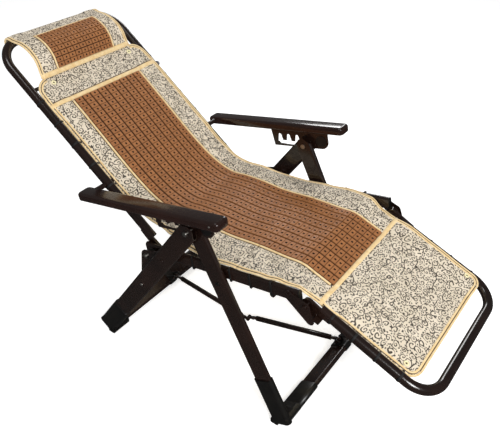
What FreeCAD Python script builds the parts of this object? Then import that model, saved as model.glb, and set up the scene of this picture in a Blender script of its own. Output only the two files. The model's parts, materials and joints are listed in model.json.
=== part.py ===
"""Folding recliner with a bamboo mat: two flat-tube leg frames, a seat, a back, a footrest and two armrests.

The chair stands on +Z, the footrest points along +X and the left side lies on +Y. The origin is on the
floor at the middle of the chair's length and width. Sizes are in millimetres and angles in degrees.
"""
import FreeCAD, Part
import math
import os
import Sketcher

V = FreeCAD.Vector
doc = FreeCAD.newDocument("folding_recliner")
sheet = doc.addObject("Spreadsheet::Sheet", "sizes")

# Driving sizes, in groups: each has its name and its value
SIZES = (
    # The side view, measured from the leg pivot under the armrest
    ("leg_pivot_height", 612), ("rear_leg_lean", 55), ("front_leg_lean", 62.6),
    ("hip_behind_pivot", 185), ("hip_below_pivot", 176),
    ("seat_length", 520), ("seat_slope", 10.1), ("knee_ahead", 16), ("knee_below", 25.4),
    ("back_length", 799), ("back_slope", 36.6), ("back_raise", 30.8),
    ("foot_length", 380), ("foot_slope", 21.8),
    ("arm_pivot_along_back", 249), ("armrest_slope", 12.4), ("armrest_level_slope", 0.3),
    # Levels across the chair
    ("frame_half_width", 234), ("side_gap", 1), ("leg_side_gap", 3), ("plate_space", 10),
    # Round tube of the back and the footrest
    ("frame_tube_radius", 14), ("tube_wall", 1.5), ("back_bend", 88), ("foot_bend", 78),
    # Flat tube of the seat
    ("seat_tube_high", 40), ("seat_tube_thick", 16), ("seat_tail", 26), ("cap_thick", 3),
    # Flat tube of the legs, and the corner shoes
    ("leg_wide", 60), ("leg_thick", 18), ("leg_head", 26), ("leg_head_corner", 24), ("leg_head_bevel", 40),
    ("shoe_wall", 3.5), ("shoe_rise", 150), ("shoe_run", 52), ("sole_thick", 8), ("sole_trim", 3),
    ("sole_half_long", 13),
    # Crossbars
    ("bar_radius", 8), ("thin_bar_radius", 6), ("back_bar_low", 250), ("back_bar_high", 624),
    ("seat_bar_rear", 110), ("seat_bar_front", 430), ("foot_bar_at", 78),
    # Hinge tabs at the lower ends of the back and the footrest tube
    ("tab_thick", 8), ("tab_radius", 15), ("tab_length", 74), ("tab_taper", 0.6), ("tube_setback", 34),
    # Pins and bolts
    ("leg_pin_radius", 4.5), ("hinge_bolt_radius", 4), ("bolt_head_radius", 8), ("bolt_head_high", 4),
    ("rivet_head_high", 2),
    ("running_gap", 0.05), ("seat_gap", 0.3), ("washer_radius", 11), ("washer_gap", 0.2),
    ("spacer_radius", 8),
    # Hip plate on the inner side of each rear leg
    ("hip_plate_thick", 4), ("hip_plate_radius", 19), ("hip_foot_along_leg", 349),
    ("hip_top_along_leg", 180), ("rivet_radius", 3),
    # Peg on each front leg that carries the seat tube
    ("peg_radius", 6),
    # Knee bracket at the front end of each seat tube
    ("knee_plate", 2.5), ("knee_eye_radius", 17), ("knee_toe_radius", 12), ("knee_toe_along", 32),
    ("knee_toe_below", 27), ("knee_rivet_back", 44), ("knee_rivet_radius", 15), ("knee_rest_long", 20),
    # Armrest and its notched bracket
    ("armrest_over_bracket", 8), ("armrest_wide", 52), ("armrest_thick", 24), ("armrest_tail", 28),
    ("armrest_nose", 524), ("armrest_round", 6), ("armrest_corner", 9), ("stud_depth", 24),
    ("bracket_thick", 3), ("bracket_tail", 246), ("bracket_low", 71), ("lug_ahead", 59),
    ("lug_above", 14), ("lug_radius", 26), ("lug_boss_radius", 19), ("lug_boss_thick", 8),
    ("flange_wide", 34), ("lane_wide", 13), ("notch_count", 4), ("notch_pitch", 34),
    ("notch_radius", 6.5), ("notch_mouth", 11.5), ("notch_rise", 29), ("bracket_slant", 8),
    # Mat, in a back, a seat and a foot length, with its head roll
    ("mat_thick", 8), ("mat_inset", 20), ("seat_mat_inset", 12),
    ("back_mat_start", 112), ("back_mat_end", 612), ("back_mat_lift", 9), ("back_mat_sag", 5),
    ("seat_mat_start", 125), ("seat_mat_end", 470), ("seat_mat_rear_lift", 51), ("seat_mat_sag", 9),
    ("seat_mat_front_lift", 4), ("seat_mat_rise", 7),
    ("foot_mat_start", 34), ("foot_mat_end", 322), ("foot_mat_lift", 3), ("foot_mat_sag", 3),
    ("roll_start", 618), ("roll_crown", 44), ("roll_inset", 46), ("roll_end_crown", 0.35),
    ("roll_shoulder", 0.55), ("loop_radius", 3), ("loop_gap", 0.25), ("loop_tuck", 6),
    # Central folding brace between the two floor bars
    ("brace_radius", 6), ("brace_eye_radius", 8), ("brace_eye_thick", 6), ("brace_side", 0),
    ("brace_front_side", 85), ("brace_rear_length", 337), ("brace_sag", 5.1), ("brace_space", 6.6),
    ("brace_gap", 0.5),
    ("brace_neck_long", 17.6), ("brace_neck_wide", 10.4), ("brace_bar_inset", 12),
    ("rear_clip_rise", 46), ("rear_clip_ahead", 22), ("front_clip_rise", 25), ("clip_wide", 30),
    ("clip_wall", 3), ("clip_ear", 4),
)
for row, (name, value) in enumerate(SIZES, start=1):
    sheet.set("A%d" % row, name)
    sheet.set("B%d" % row, str(value))
    sheet.setAlias("B%d" % row, name)
doc.recompute()


def size(name):
    """Return a driving size from the sheet."""
    return float(getattr(sheet, name))


def bind(feature, prop, expression):
    """Tie a property to the sheet, where every word that is a driving size stands for its cell."""
    for name in sorted((name for name, _ in SIZES), key=len, reverse=True):
        expression = expression.replace("<" + name + ">", "sizes." + name)
    feature.setExpression(prop, expression)


class SideFrame:
    """A frame in the side view: a pivot, and the direction in which a member runs from it."""

    def __init__(self, origin, angle):
        self.origin = origin
        self.angle = angle
        self.turn = FreeCAD.Rotation(V(0, 1, 0), -angle)

    def at(self, along, above=0.0, side=0.0):
        """Return the point that lies along the member, above it, and to the side."""
        return self.origin + self.turn.multVec(V(along, side, above))

    def place(self, along=0.0, above=0.0, side=0.0):
        """Return the placement of a piece drawn with its X axis along the member."""
        return FreeCAD.Placement(self.at(along, above, side), self.turn)


def polar(length, angle):
    """Return a vector in the side view."""
    return V(length * math.cos(math.radians(angle)), 0, length * math.sin(math.radians(angle)))


def floor_drop(lean):
    """Return the height of a floor bar's centre, so that the soles under its shoes stand on the floor."""
    half_flat = (size("leg_wide") - size("leg_thick")) / 2
    sole = size("leg_thick") / 2 + size("shoe_wall") + size("sole_thick")
    return sole + half_flat * math.cos(math.radians(lean)) - size("sole_trim")


# Pivots in the side view, first from the leg pivot and then from the origin
hip = V(-size("hip_behind_pivot"), 0, -size("hip_below_pivot"))
knee = hip + polar(size("seat_length") + size("knee_ahead"), size("seat_slope"))
knee = knee + polar(size("knee_below"), size("seat_slope") - 90)
head = hip + polar(size("back_length"), 180 - size("back_slope"))
toe = knee + polar(size("foot_length"), -size("foot_slope"))
middle = (head.x + toe.x) / 2
leg_pivot = V(-middle, 0, size("leg_pivot_height"))
hip = hip + leg_pivot
knee = knee + leg_pivot

rear_leg = SideFrame(leg_pivot, 180 + size("rear_leg_lean"))
front_leg = SideFrame(leg_pivot, -size("front_leg_lean"))
seat = SideFrame(hip, size("seat_slope"))
back = SideFrame(hip, 180 - size("back_slope"))
foot = SideFrame(knee, -size("foot_slope"))
arm_pivot = back.at(size("arm_pivot_along_back"))
arm = SideFrame(arm_pivot, size("armrest_slope"))



def leg_reach(lean):
    """Return how far a leg runs from its pivot to its floor bar."""
    return (leg_pivot.z - floor_drop(lean)) / math.sin(math.radians(lean))


rear_reach = leg_reach(size("rear_leg_lean"))
front_reach = leg_reach(size("front_leg_lean"))

# Levels across the chair, outwards from the middle
tube_outer = size("frame_half_width") + size("frame_tube_radius")
tube_inner = size("frame_half_width") - size("frame_tube_radius")
seat_inner = tube_outer + size("side_gap")
seat_outer = seat_inner + size("seat_tube_thick")
seat_level = (seat_inner + seat_outer) / 2
front_inner = seat_outer + size("leg_side_gap")
front_outer = front_inner + size("leg_thick")
rear_inner = front_outer + size("plate_space")
rear_outer = rear_inner + size("leg_thick")
bracket_level = (front_outer + rear_inner) / 2
armrest_inner = bracket_level - size("armrest_over_bracket")
mat_half = size("frame_half_width") - size("mat_inset")
seat_mat_half = seat_inner - size("seat_mat_inset")
roll_half = size("frame_half_width") - size("roll_inset")
SIDES = (("left", 1), ("right", -1))
nodes = []


def node(feature, label):
    """Name a finished piece."""
    feature.Label = label
    nodes.append(feature)
    return feature


def shape_node(label, shape):
    """Keep a shape made with Part's own functions as a piece."""
    feature = doc.addObject("Part::Feature", label)
    feature.Shape = shape
    return node(feature, label)


def body_plane(body, role):
    """Return one of a body's own origin planes."""
    return next(plane for plane in body.Origin.OriginFeatures if plane.Role == role)


def sketch_on(body, role, name):
    """Add a sketch on one of a body's origin planes."""
    sketch = body.newObject("Sketcher::SketchObject", name)
    sketch.AttachmentSupport = (body_plane(body, role), [""])
    sketch.MapMode = "FlatFace"
    return sketch


def dimension(sketch, kind, *rest):
    """Add a dimension and tie it to the sheet: the last argument is its expression."""
    index = sketch.addConstraint(Sketcher.Constraint(kind, *rest[:-1]))
    bind(sketch, "Constraints[%d]" % index, rest[-1])


def stadium(sketch, from_x, span, radius, upright=False):
    """Draw a closed slot outline from one round end to the other, with its sizes as expressions.

    from_x, span and radius are pairs of a value and an expression. An upright outline runs along the
    sketch's second axis and is centred on the first.
    """
    x, reach, r = from_x[0], span[0], radius[0]
    turn = (lambda a, b: V(b, a, 0)) if upright else (lambda a, b: V(a, b, 0))
    first = len(sketch.Geometry)
    near = Part.Arc(turn(x, r), turn(x - r, 0), turn(x, -r))
    far = Part.Arc(turn(x + reach, -r), turn(x + reach + r, 0), turn(x + reach, r))
    sketch.addGeometry([near, Part.LineSegment(turn(x, -r), turn(x + reach, -r)), far,
                        Part.LineSegment(turn(x + reach, r), turn(x, r))])
    for one in range(4):
        ends = closest_ends(sketch, first + one, first + (one + 1) % 4)
        sketch.addConstraint(Sketcher.Constraint("Tangent", *ends))
    bind_length = "DistanceY" if upright else "DistanceX"
    cross_length = "DistanceX" if upright else "DistanceY"
    dimension(sketch, "Radius", first, r, radius[1])
    dimension(sketch, bind_length, first, 3, first + 2, 3, reach, span[1])
    if abs(x) < 1e-9:
        sketch.addConstraint(Sketcher.Constraint("Coincident", first, 3, -1, 1))
    else:
        index = sketch.addConstraint(Sketcher.Constraint(bind_length, -1, 1, first, 3, x))
        bind(sketch, "Constraints[%d]" % index, from_x[1])
        sketch.addConstraint(Sketcher.Constraint(cross_length, -1, 1, first, 3, 0.0))
    sketch.addConstraint(Sketcher.Constraint(cross_length, first, 3, first + 2, 3, 0.0))


def closest_ends(sketch, one, other):
    """Return the ends at which two pieces of an outline meet."""
    best = None
    for one_end in (1, 2):
        for other_end in (1, 2):
            gap = (sketch.getPoint(one, one_end) - sketch.getPoint(other, other_end)).Length
            if best is None or gap < best[0]:
                best = (gap, one_end, other_end)
    return one, best[1], other, best[2]


def pad(body, sketch, length):
    """Pad a sketch by an expression."""
    feature = body.newObject("PartDesign::Pad", "Pad")
    feature.Profile = sketch
    bind(feature, "Length", length)


def flat_tube(label, wide, thick, length, placement):
    """Make a hollow flat tube that runs along its X axis, with its wide side upright."""
    body = doc.addObject("PartDesign::Body", label)
    sketch = sketch_on(body, "YZ_Plane", label + "_section")
    span = size(wide) - size(thick)
    half = "(<%s> - <%s>) / 2" % (wide, thick)
    for wall, radius in ((0, "<%s> / 2" % thick), (1, "<%s> / 2 - <tube_wall>" % thick)):
        stadium(sketch, (-span / 2, "-(%s)" % half), (span, "2 * (%s)" % half),
                (size(thick) / 2 - wall * size("tube_wall"), radius), upright=True)
    pad(body, sketch, str(length))
    body.Placement = placement
    return node(body, label)


def round_bar(name, radius, start, end):
    """Make a solid round bar between two points."""
    bar = doc.addObject("Part::Cylinder", name)
    bind(bar, "Radius", radius)
    bar.Height = (end - start).Length
    bar.Placement = FreeCAD.Placement(start, FreeCAD.Rotation(V(0, 0, 1), end - start))
    return bar


def crossbar(label, frame, along, above, radius, half):
    """Make a round crossbar from one side of a frame to the other."""
    bar = round_bar(label, "<%s>" % radius, frame.at(along, above, -half), frame.at(along, above, half))
    node(bar, label)


def tube_solid(frame, start, length, side, grow=0.0):
    """Return the solid outline of one side of a round tube frame, for pieces that seat on it."""
    axis = frame.turn.multVec(V(1, 0, 0))
    return Part.makeCylinder(size("frame_tube_radius") + grow, length,
                             frame.at(start, 0, side * size("frame_half_width")), axis)


def coped_bar(label, frame, along, above):
    """Make a thin crossbar that is welded between the two sides of a round tube frame."""
    half = size("frame_half_width")
    blank = Part.makeCylinder(size("thin_bar_radius"), 2 * half, frame.at(along, above, -half), V(0, 1, 0))
    for _, side in SIDES:
        blank = blank.cut(tube_solid(frame, along - half, 2 * half, side))
    shape_node(label, blank)


def stepped_pin(name, centre, side, steps):
    """Make a headed pin across the chair from (radius, inner level, outer level) steps."""
    parts = []
    for index, (radius, inner, outer) in enumerate(steps):
        start = V(centre.x, side * inner, centre.z)
        end = V(centre.x, side * outer, centre.z)
        parts.append(round_bar("%s_%d" % (name, index), radius, start, end))
    pin = doc.addObject("Part::MultiFuse", name)
    pin.Shapes = parts
    return pin


def group(label, members):
    """Keep like fasteners as one piece of separate solids."""
    compound = doc.addObject("Part::Compound", label)
    compound.Links = members
    return node(compound, label)


def across(radius, centre, inner, outer, side):
    """Return a round solid across the chair, for a bore."""
    low, high = sorted((side * inner, side * outer))
    return Part.makeCylinder(radius, high - low, V(centre.x, low, centre.z), V(0, 1, 0))


def bored(label, feature, holes):
    """Cut round holes, given as solids, through a finished piece and keep the result under its label."""
    nodes.remove(feature)
    feature.Label = label + "_blank"
    doc.recompute()
    shape = feature.Shape.copy()
    for hole in holes:
        shape = shape.cut(hole)
    return shape_node(label, shape)


def bent_frame(label, frame, start, length, half, bend):
    """Make a round tube bent to a U: down one side, across the end, and back along the other."""
    body = doc.addObject("PartDesign::Body", label)
    run = size(length) - size(start)
    h = size(half)
    r = size(bend)
    path = sketch_on(body, "XY_Plane", label + "_path")
    corner = r * (1 - math.sqrt(0.5))
    path.addGeometry([
        Part.LineSegment(V(0, -h, 0), V(run - r, -h, 0)),
        Part.Arc(V(run - r, -h, 0), V(run - corner, -h + corner, 0), V(run, -h + r, 0)),
        Part.LineSegment(V(run, -h + r, 0), V(run, h - r, 0)),
        Part.Arc(V(run, h - r, 0), V(run - corner, h - corner, 0), V(run - r, h, 0)),
        Part.LineSegment(V(run - r, h, 0), V(0, h, 0)),
    ])
    for one in range(4):
        path.addConstraint(Sketcher.Constraint("Tangent", *closest_ends(path, one, one + 1)))
    path.addConstraint(Sketcher.Constraint("Horizontal", 0))
    path.addConstraint(Sketcher.Constraint("Horizontal", 4))
    path.addConstraint(Sketcher.Constraint("Vertical", 2))
    dimension(path, "Radius", 1, r, "<%s>" % bend)
    dimension(path, "Radius", 3, r, "<%s>" % bend)
    dimension(path, "DistanceY", 0, 1, -1, 1, h, "<%s>" % half)
    dimension(path, "DistanceY", -1, 1, 4, 2, h, "<%s>" % half)
    path.addConstraint(Sketcher.Constraint("DistanceX", -1, 1, 0, 1, 0.0))
    path.addConstraint(Sketcher.Constraint("DistanceX", -1, 1, 4, 2, 0.0))
    dimension(path, "DistanceX", -1, 1, 2, 1, run, "<%s> - <%s>" % (length, start))
    section = sketch_on(body, "YZ_Plane", label + "_section")
    outer_r = size("frame_tube_radius")
    for radius, text in ((outer_r, "<frame_tube_radius>"),
                         (outer_r - size("tube_wall"), "<frame_tube_radius> - <tube_wall>")):
        ring = section.addGeometry(Part.Circle(V(-h, 0, 0), V(0, 0, 1), radius))
        dimension(section, "Radius", ring, radius, text)
        dimension(section, "DistanceX", ring, 3, -1, 1, h, "<%s>" % half)
        section.addConstraint(Sketcher.Constraint("PointOnObject", ring, 3, -1))
    pipe = body.newObject("PartDesign::AdditivePipe", "Pipe")
    pipe.Profile = section
    pipe.Spine = (path, ["Edge%d" % (number + 1) for number in range(5)])
    body.Placement = frame.place(size(start))
    return node(body, label)


def hinge_tab(name, frame, side):
    """Return the flat tab that is welded into a round tube's end, with its bore at the pivot."""
    r = size("tab_radius")
    inner = tube_outer - size("tab_thick")
    reach = size("tab_length")
    end_r = r * size("tab_taper")
    outline = Part.Wire([
        Part.Arc(V(0, 0, r), V(-r, 0, 0), V(0, 0, -r)).toShape(),
        Part.LineSegment(V(0, 0, -r), V(reach, 0, -end_r)).toShape(),
        Part.LineSegment(V(reach, 0, -end_r), V(reach, 0, end_r)).toShape(),
        Part.LineSegment(V(reach, 0, end_r), V(0, 0, r)).toShape(),
    ])
    tab = Part.Face(outline).extrude(V(0, size("tab_thick"), 0))
    level = inner if side > 0 else -inner - size("tab_thick")
    tab.Placement = frame.place(0, 0, level)
    bore = size("hinge_bolt_radius") + size("running_gap")
    return tab.cut(across(bore, frame.origin, inner - 1, tube_outer + 1, side))


def stadium_prism(length, wide, thick, grow=0.0):
    """Return a solid flat-oval bar along X with its wide side upright, made larger all round by grow."""
    r = thick / 2 + grow
    h = (wide - thick) / 2
    section = Part.Wire([
        Part.Arc(V(0, -r, h), V(0, 0, h + r), V(0, r, h)).toShape(),
        Part.LineSegment(V(0, r, h), V(0, r, -h)).toShape(),
        Part.Arc(V(0, r, -h), V(0, 0, -h - r), V(0, -r, -h)).toShape(),
        Part.LineSegment(V(0, -r, -h), V(0, -r, h)).toShape(),
    ])
    return Part.Face(section).extrude(V(length, 0, 0))


def floor_bar_solid(frame, reach, start, end, grow=0.0):
    """Return the solid outline of a floor bar between two levels, with its wide side square to the legs."""
    bar = stadium_prism(end - start, size("leg_wide"), size("leg_thick"), grow)
    bar.rotate(V(0, 0, 0), V(0, 0, 1), 90)
    bar.Placement = frame.place(reach, 0, start).multiply(bar.Placement)
    return bar


def leg_set(prefix, frame, reach, inner, outer, holes):
    """Make one leg frame: two flat tubes, the floor bar between them and the two corner shoes."""
    level = (inner + outer) / 2
    head = size("leg_head")
    wall = size("tube_wall")
    half = inner - size("seat_gap")
    bar = floor_bar_solid(frame, reach, -half, half)
    hollow = floor_bar_solid(frame, reach, -half - 1, half + 1, -wall)
    shape_node(prefix + "_floor_bar", bar.cut(hollow))
    for name, side in SIDES:
        label = "%s_leg_%s" % (prefix, name)
        length = reach + head + size("leg_thick") / 2
        tube = flat_tube(label, "leg_wide", "leg_thick", length, frame.place(-head, 0, side * level))
        cuts = [across(radius, centre, inner - 2, outer + 2, side) for radius, centre in holes]
        for edge in (1, -1):
            bevel = corner_bevel(size("leg_head_corner"), edge * size("leg_wide") / 2, 3 * size("leg_thick"))
            bevel.Placement = frame.place(-head, 0, side * level - 1.5 * size("leg_thick"))
            cuts.append(bevel)
        bored(label, tube, cuts)
        shoe("%s_shoe_%s" % (prefix, name), frame, reach, side, inner)


def corner_bevel(trim, edge, across_width):
    """Return the wedge that bevels one corner of a tube's end: trim along the tube, and across it."""
    out = math.copysign(1, edge)
    inward = edge - out * trim * math.tan(math.radians(size("leg_head_bevel")))
    points = [V(-1, 0, edge + out), V(trim, 0, edge + out), V(trim, 0, edge), V(0, 0, inward),
              V(-1, 0, inward)]
    outline = Part.makePolygon(points + [points[0]])
    return Part.Face(outline).extrude(V(0, across_width, 0))


def shoe(label, frame, reach, side, inner):
    """Make a corner shoe: it wraps the foot of a leg and the end of the floor bar, over a flat sole."""
    wall = size("shoe_wall")
    rise = size("shoe_rise")
    wide = size("leg_wide")
    thick = size("leg_thick")
    level = side * (inner + thick / 2)
    run_start = inner - size("shoe_run")
    outer = inner + thick + wall
    sleeve = stadium_prism(rise + thick / 2 + wall, wide, thick, wall)
    sleeve.Placement = frame.place(reach - rise, 0, level)
    cross = floor_bar_solid(frame, reach, *sorted((side * run_start, side * outer)), wall)
    sole_at = lowest_edge(frame, reach)
    half_long = size("sole_half_long")
    low, high = sorted((side * run_start, side * outer))
    pad_box = Part.makeBox(2 * half_long, high - low, sole_at.z, V(sole_at.x - half_long, low, 0))
    sole = floor_bar_solid(frame, reach, low, high, wall + size("sole_thick")).common(pad_box)
    leg_core = stadium_prism(rise + thick / 2 + 1, wide, thick)
    leg_core.Placement = frame.place(reach - rise - 1, 0, level)
    bar_core = floor_bar_solid(frame, reach, *sorted((side * (run_start - 1), side * inner)))
    shape_node(label, sleeve.fuse(cross).fuse(sole).cut(leg_core).cut(bar_core).removeSplitter())


def lowest_edge(frame, reach):
    """Return the centre of the round lower edge of a floor bar."""
    half_flat = (size("leg_wide") - size("leg_thick")) / 2
    return min((frame.at(reach, half_flat), frame.at(reach, -half_flat)), key=lambda point: point.z)


def arm_lane_points():
    """Return three places of the leg pin in the armrest's own frame, from flat to upright."""
    points = []
    for part in (0.0, 0.5, 1.0):
        swung = SideFrame(hip, 180 - size("back_slope") - part * size("back_raise"))
        pivot = swung.at(size("arm_pivot_along_back"))
        drop = size("armrest_slope") - size("armrest_level_slope")
        slope = size("armrest_slope") - part * drop
        local = FreeCAD.Rotation(V(0, 1, 0), slope).multVec(leg_pivot - pivot)
        points.append(V(local.x, 0, local.z))
    return points


def lane_cutter(thick):
    """Return the solid of the bracket's window: the lane that the leg pin runs in, and its notches."""
    front, centre, rear = arm_lane_points()
    half = size("lane_wide") / 2
    arc = Part.Arc(front, centre, rear).toShape().Curve
    hub = arc.Center
    radius = arc.Radius

    def offset(point, step):
        return hub + (point - hub) * ((radius + step) / radius)

    ends = [(offset(point, half), offset(point, -half)) for point in (front, centre, rear)]
    front_tip = front + (ends[0][0] - front).cross(V(0, 1, 0)).normalize() * half
    if (front_tip - centre).Length < (front - centre).Length:
        front_tip = front - (front_tip - front)
    rear_tip = rear + (ends[2][0] - rear).cross(V(0, 1, 0)).normalize() * half
    if (rear_tip - centre).Length < (rear - centre).Length:
        rear_tip = rear - (rear_tip - rear)
    outline = Part.Wire([
        Part.Arc(ends[0][0], ends[1][0], ends[2][0]).toShape(),
        Part.Arc(ends[2][0], rear_tip, ends[2][1]).toShape(),
        Part.Arc(ends[2][1], ends[1][1], ends[0][1]).toShape(),
        Part.Arc(ends[0][1], front_tip, ends[0][0]).toShape(),
    ])
    window = Part.Face(outline).extrude(V(0, thick, 0))
    for number in range(int(size("notch_count"))):
        window = window.fuse(notch_cutter(front.x - number * size("notch_pitch"), front.z, thick))
    return window


def notch_cutter(along, lane, thick):
    """Return one notch over the lane: a round top, and sides that flare down to the lane."""
    r = size("notch_radius")
    top = lane + size("notch_rise")
    mouth = size("notch_mouth")
    outline = Part.Wire([
        Part.Arc(V(along - r, 0, top - r), V(along, 0, top), V(along + r, 0, top - r)).toShape(),
        Part.LineSegment(V(along + r, 0, top - r), V(along + mouth, 0, lane)).toShape(),
        Part.LineSegment(V(along + mouth, 0, lane), V(along - mouth, 0, lane)).toShape(),
        Part.LineSegment(V(along - mouth, 0, lane), V(along - r, 0, top - r)).toShape(),
    ])
    return Part.Face(outline).extrude(V(0, thick, 0))


def arm_bracket(name, side):
    """Make the notched bracket: an upright plate with the window, a round lug and a top flange."""
    under = -size("armrest_thick") / 2
    low = -size("bracket_low")
    tail = size("bracket_tail")
    slant_in = size("bracket_slant")
    pin = arm_lane_points()[0]
    lug = V(pin.x + size("lug_ahead"), 0, pin.z + size("lug_above"))
    r = size("lug_radius")
    base = V(lug.x, 0, lug.z - r)
    nose = V(lug.x + r, 0, lug.z)
    slant = V(lug.x + r * math.sin(math.pi / 4), 0, lug.z - r * math.cos(math.pi / 4))
    outline = Part.Wire([
        Part.LineSegment(V(tail, 0, under), V(tail + slant_in, 0, low)).toShape(),
        Part.LineSegment(V(tail + slant_in, 0, low), base).toShape(),
        Part.Arc(base, slant, nose).toShape(),
        Part.LineSegment(nose, V(nose.x, 0, under)).toShape(),
        Part.LineSegment(V(nose.x, 0, under), V(tail, 0, under)).toShape(),
    ])
    thick = size("bracket_thick")
    plate = Part.Face(outline).extrude(V(0, thick, 0))
    window = lane_cutter(thick + 2)
    window.translate(V(0, -1, 0))
    plate = plate.cut(window)
    flange = Part.makeBox(nose.x - tail, size("flange_wide"), thick, V(tail, 0, under - thick))
    if side < 0:
        flange.translate(V(0, thick - size("flange_wide"), 0))
    plate = plate.fuse(flange).removeSplitter()
    plate.Placement = arm.place(0, 0, side * bracket_level - thick / 2)
    plate = plate.cut(across(size("hinge_bolt_radius"), arm.at(lug.x, lug.z), bracket_level - 9,
                             bracket_level + 9, side))
    shape_node("arm_bracket_" + name, plate)
    return lug


def arm_lug(name, side, lug):
    """Make the round plastic boss through the bracket's front lug: a disc on each face and a core."""
    reach = size("lug_boss_thick") / 2
    plate = size("bracket_thick") / 2
    centre = arm.at(lug.x, lug.z)
    boss = stepped_pin("arm_lug_" + name, centre, side, (
        ("<hinge_bolt_radius>", bracket_level - plate, bracket_level + plate),
        ("<lug_boss_radius>", bracket_level - reach, bracket_level - plate),
        ("<lug_boss_radius>", bracket_level + plate, bracket_level + reach)))
    node(boss, "arm_lug_" + name)


def armrest(name, side):
    """Make one armrest: a long board with bevelled corners and rounded edges, bored for its pivot."""
    tail = size("armrest_tail")
    length = size("armrest_nose") + tail
    wide = size("armrest_wide")
    thick = size("armrest_thick")
    bevel = size("armrest_corner")
    inner = armrest_inner
    points = []
    for x, y in ((0, bevel), (bevel, 0), (length - bevel, 0), (length, bevel), (length, wide - bevel),
                 (length - bevel, wide), (bevel, wide), (0, wide - bevel)):
        points.append(V(x, y, 0))
    board = Part.Face(Part.makePolygon(points + [points[0]])).extrude(V(0, 0, thick))
    rims = [edge for edge in board.Edges if abs(edge.CenterOfMass.z - thick) < 1e-6]
    board = board.makeFillet(size("armrest_round"), rims)
    level = inner if side > 0 else -inner - wide
    board.Placement = arm.place(-tail, -thick / 2, level)
    bore_radius = size("hinge_bolt_radius") + size("running_gap")
    bore = across(bore_radius, arm_pivot, inner - 1, inner + wide / 2, side)
    shape_node("armrest_" + name, board.cut(bore))


def mat_strip(label, frame, start, end, sag, lift, half):
    """Make one length of the mat: a thin slab with a shallow sag between its two ends.

    lift is the level of its underside above the frame's axis, and its sign is the sitter's side.
    """
    middle_at = (start + end) / 2
    top = lift + math.copysign(size("mat_thick"), lift)
    dip = math.copysign(sag, lift)
    outline = Part.Wire([
        Part.Arc(V(start, 0, lift), V(middle_at, 0, lift - dip), V(end, 0, lift)).toShape(),
        Part.LineSegment(V(end, 0, lift), V(end, 0, top)).toShape(),
        Part.Arc(V(end, 0, top), V(middle_at, 0, top - dip), V(start, 0, top)).toShape(),
        Part.LineSegment(V(start, 0, top), V(start, 0, lift)).toShape(),
    ])
    slab = Part.Face(outline).extrude(V(0, 2 * half, 0))
    slab.Placement = frame.place(0, 0, -half)
    return shape_node(label, slab)


def seat_mat_curve(rise):
    """Return the seat mat's line: it falls from the hip, levels off, and bends down before the knee."""
    start = size("seat_mat_start")
    end = size("seat_mat_end")
    rear = size("seat_mat_rear_lift")
    front = size("seat_mat_front_lift")
    curve = Part.BSplineCurve()
    points = []
    for part, swell in ((0.0, 0.0), (0.25, -size("seat_mat_sag")), (0.56, 0.0), (0.82, size("seat_mat_rise")),
                        (1.0, 0.0)):
        level = rear + (front - rear) * part + swell
        points.append(V(start + (end - start) * part, 0, level + rise))
    curve.interpolate(points)
    return curve


def seat_mat():
    """Make the seat's length of the mat, which lies over the seat tubes and bends down to the knee."""
    thick = size("mat_thick")
    under = seat_mat_curve(0)
    over = seat_mat_curve(thick)
    ends = [(curve.value(curve.FirstParameter), curve.value(curve.LastParameter)) for curve in (under, over)]
    outline = Part.Wire([
        under.toShape(),
        Part.LineSegment(ends[0][1], ends[1][1]).toShape(),
        over.toShape(),
        Part.LineSegment(ends[1][0], ends[0][0]).toShape(),
    ])
    slab = Part.Face(outline).extrude(V(0, 2 * seat_mat_half, 0))
    slab.Placement = seat.place(0, 0, -seat_mat_half)
    shape_node("seat_mat", slab)


def head_roll():
    """Make the padded head roll: a crowned cushion across the top of the back, drawn in at its sides."""
    start = size("roll_start")
    end = size("back_length") + size("frame_tube_radius") - 2
    middle_at = (start + end) / 2
    flat = size("roll_end_crown")
    shoulder = size("roll_shoulder")
    sections = []
    for side, part in ((-1.0, flat), (-shoulder, 1.0), (shoulder, 1.0), (1.0, flat)):
        high = -size("frame_tube_radius") - size("roll_crown") * part
        base = -size("frame_tube_radius") - size("seat_gap")
        y = side * roll_half
        sections.append(Part.Wire([
            Part.Arc(V(start, y, base), V(middle_at, y, high), V(end, y, base)).toShape(),
            Part.LineSegment(V(end, y, base), V(start, y, base)).toShape(),
        ]))
    roll = Part.makeLoft(sections, True, False)
    roll.Placement = back.place()
    shape_node("head_roll", roll)


def elastic_loops(label, frame, stations, half, tube_level, tube_of):
    """Make the short elastic loops that hold the mat's edge to the tube beside it.

    stations are (along, level) pairs on the mat's underside, half is the mat's half width, tube_level the
    level of the tube beside it across the chair, and tube_of gives that tube's outline at a station.
    """
    gap = size("loop_gap")
    radius = size("loop_radius")
    loops = []
    toward = math.copysign(1, stations[0][1])
    for along, level in stations:
        under = level - toward * (radius + 2 * gap)
        for _, side in SIDES:
            start = frame.at(along, under, side * (half - size("loop_tuck")))
            end = frame.at(along, min(under * toward, 0) * toward, side * tube_level)
            loop = Part.makeCylinder(radius, (end - start).Length, start, end - start)
            loops.append(loop.cut(tube_of(along, side)))
    shape_node(label, Part.makeCompound(loops))


def round_tube_at(frame):
    """Return a function that gives the outline of a round tube frame beside the mat, with the loop's gap."""
    near = size("tab_length") / 2
    return lambda along, side: tube_solid(frame, along - near, 2 * near, side, size("loop_gap"))


def seat_tube_at(along, side):
    """Return the outline of the seat tube beside the mat, with the loop's gap."""
    near = size("tab_length") / 2
    core = stadium_prism(2 * near, size("seat_tube_high"), size("seat_tube_thick"), size("loop_gap"))
    core.Placement = seat.place(along - near, 0, side * seat_level)
    return core


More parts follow.
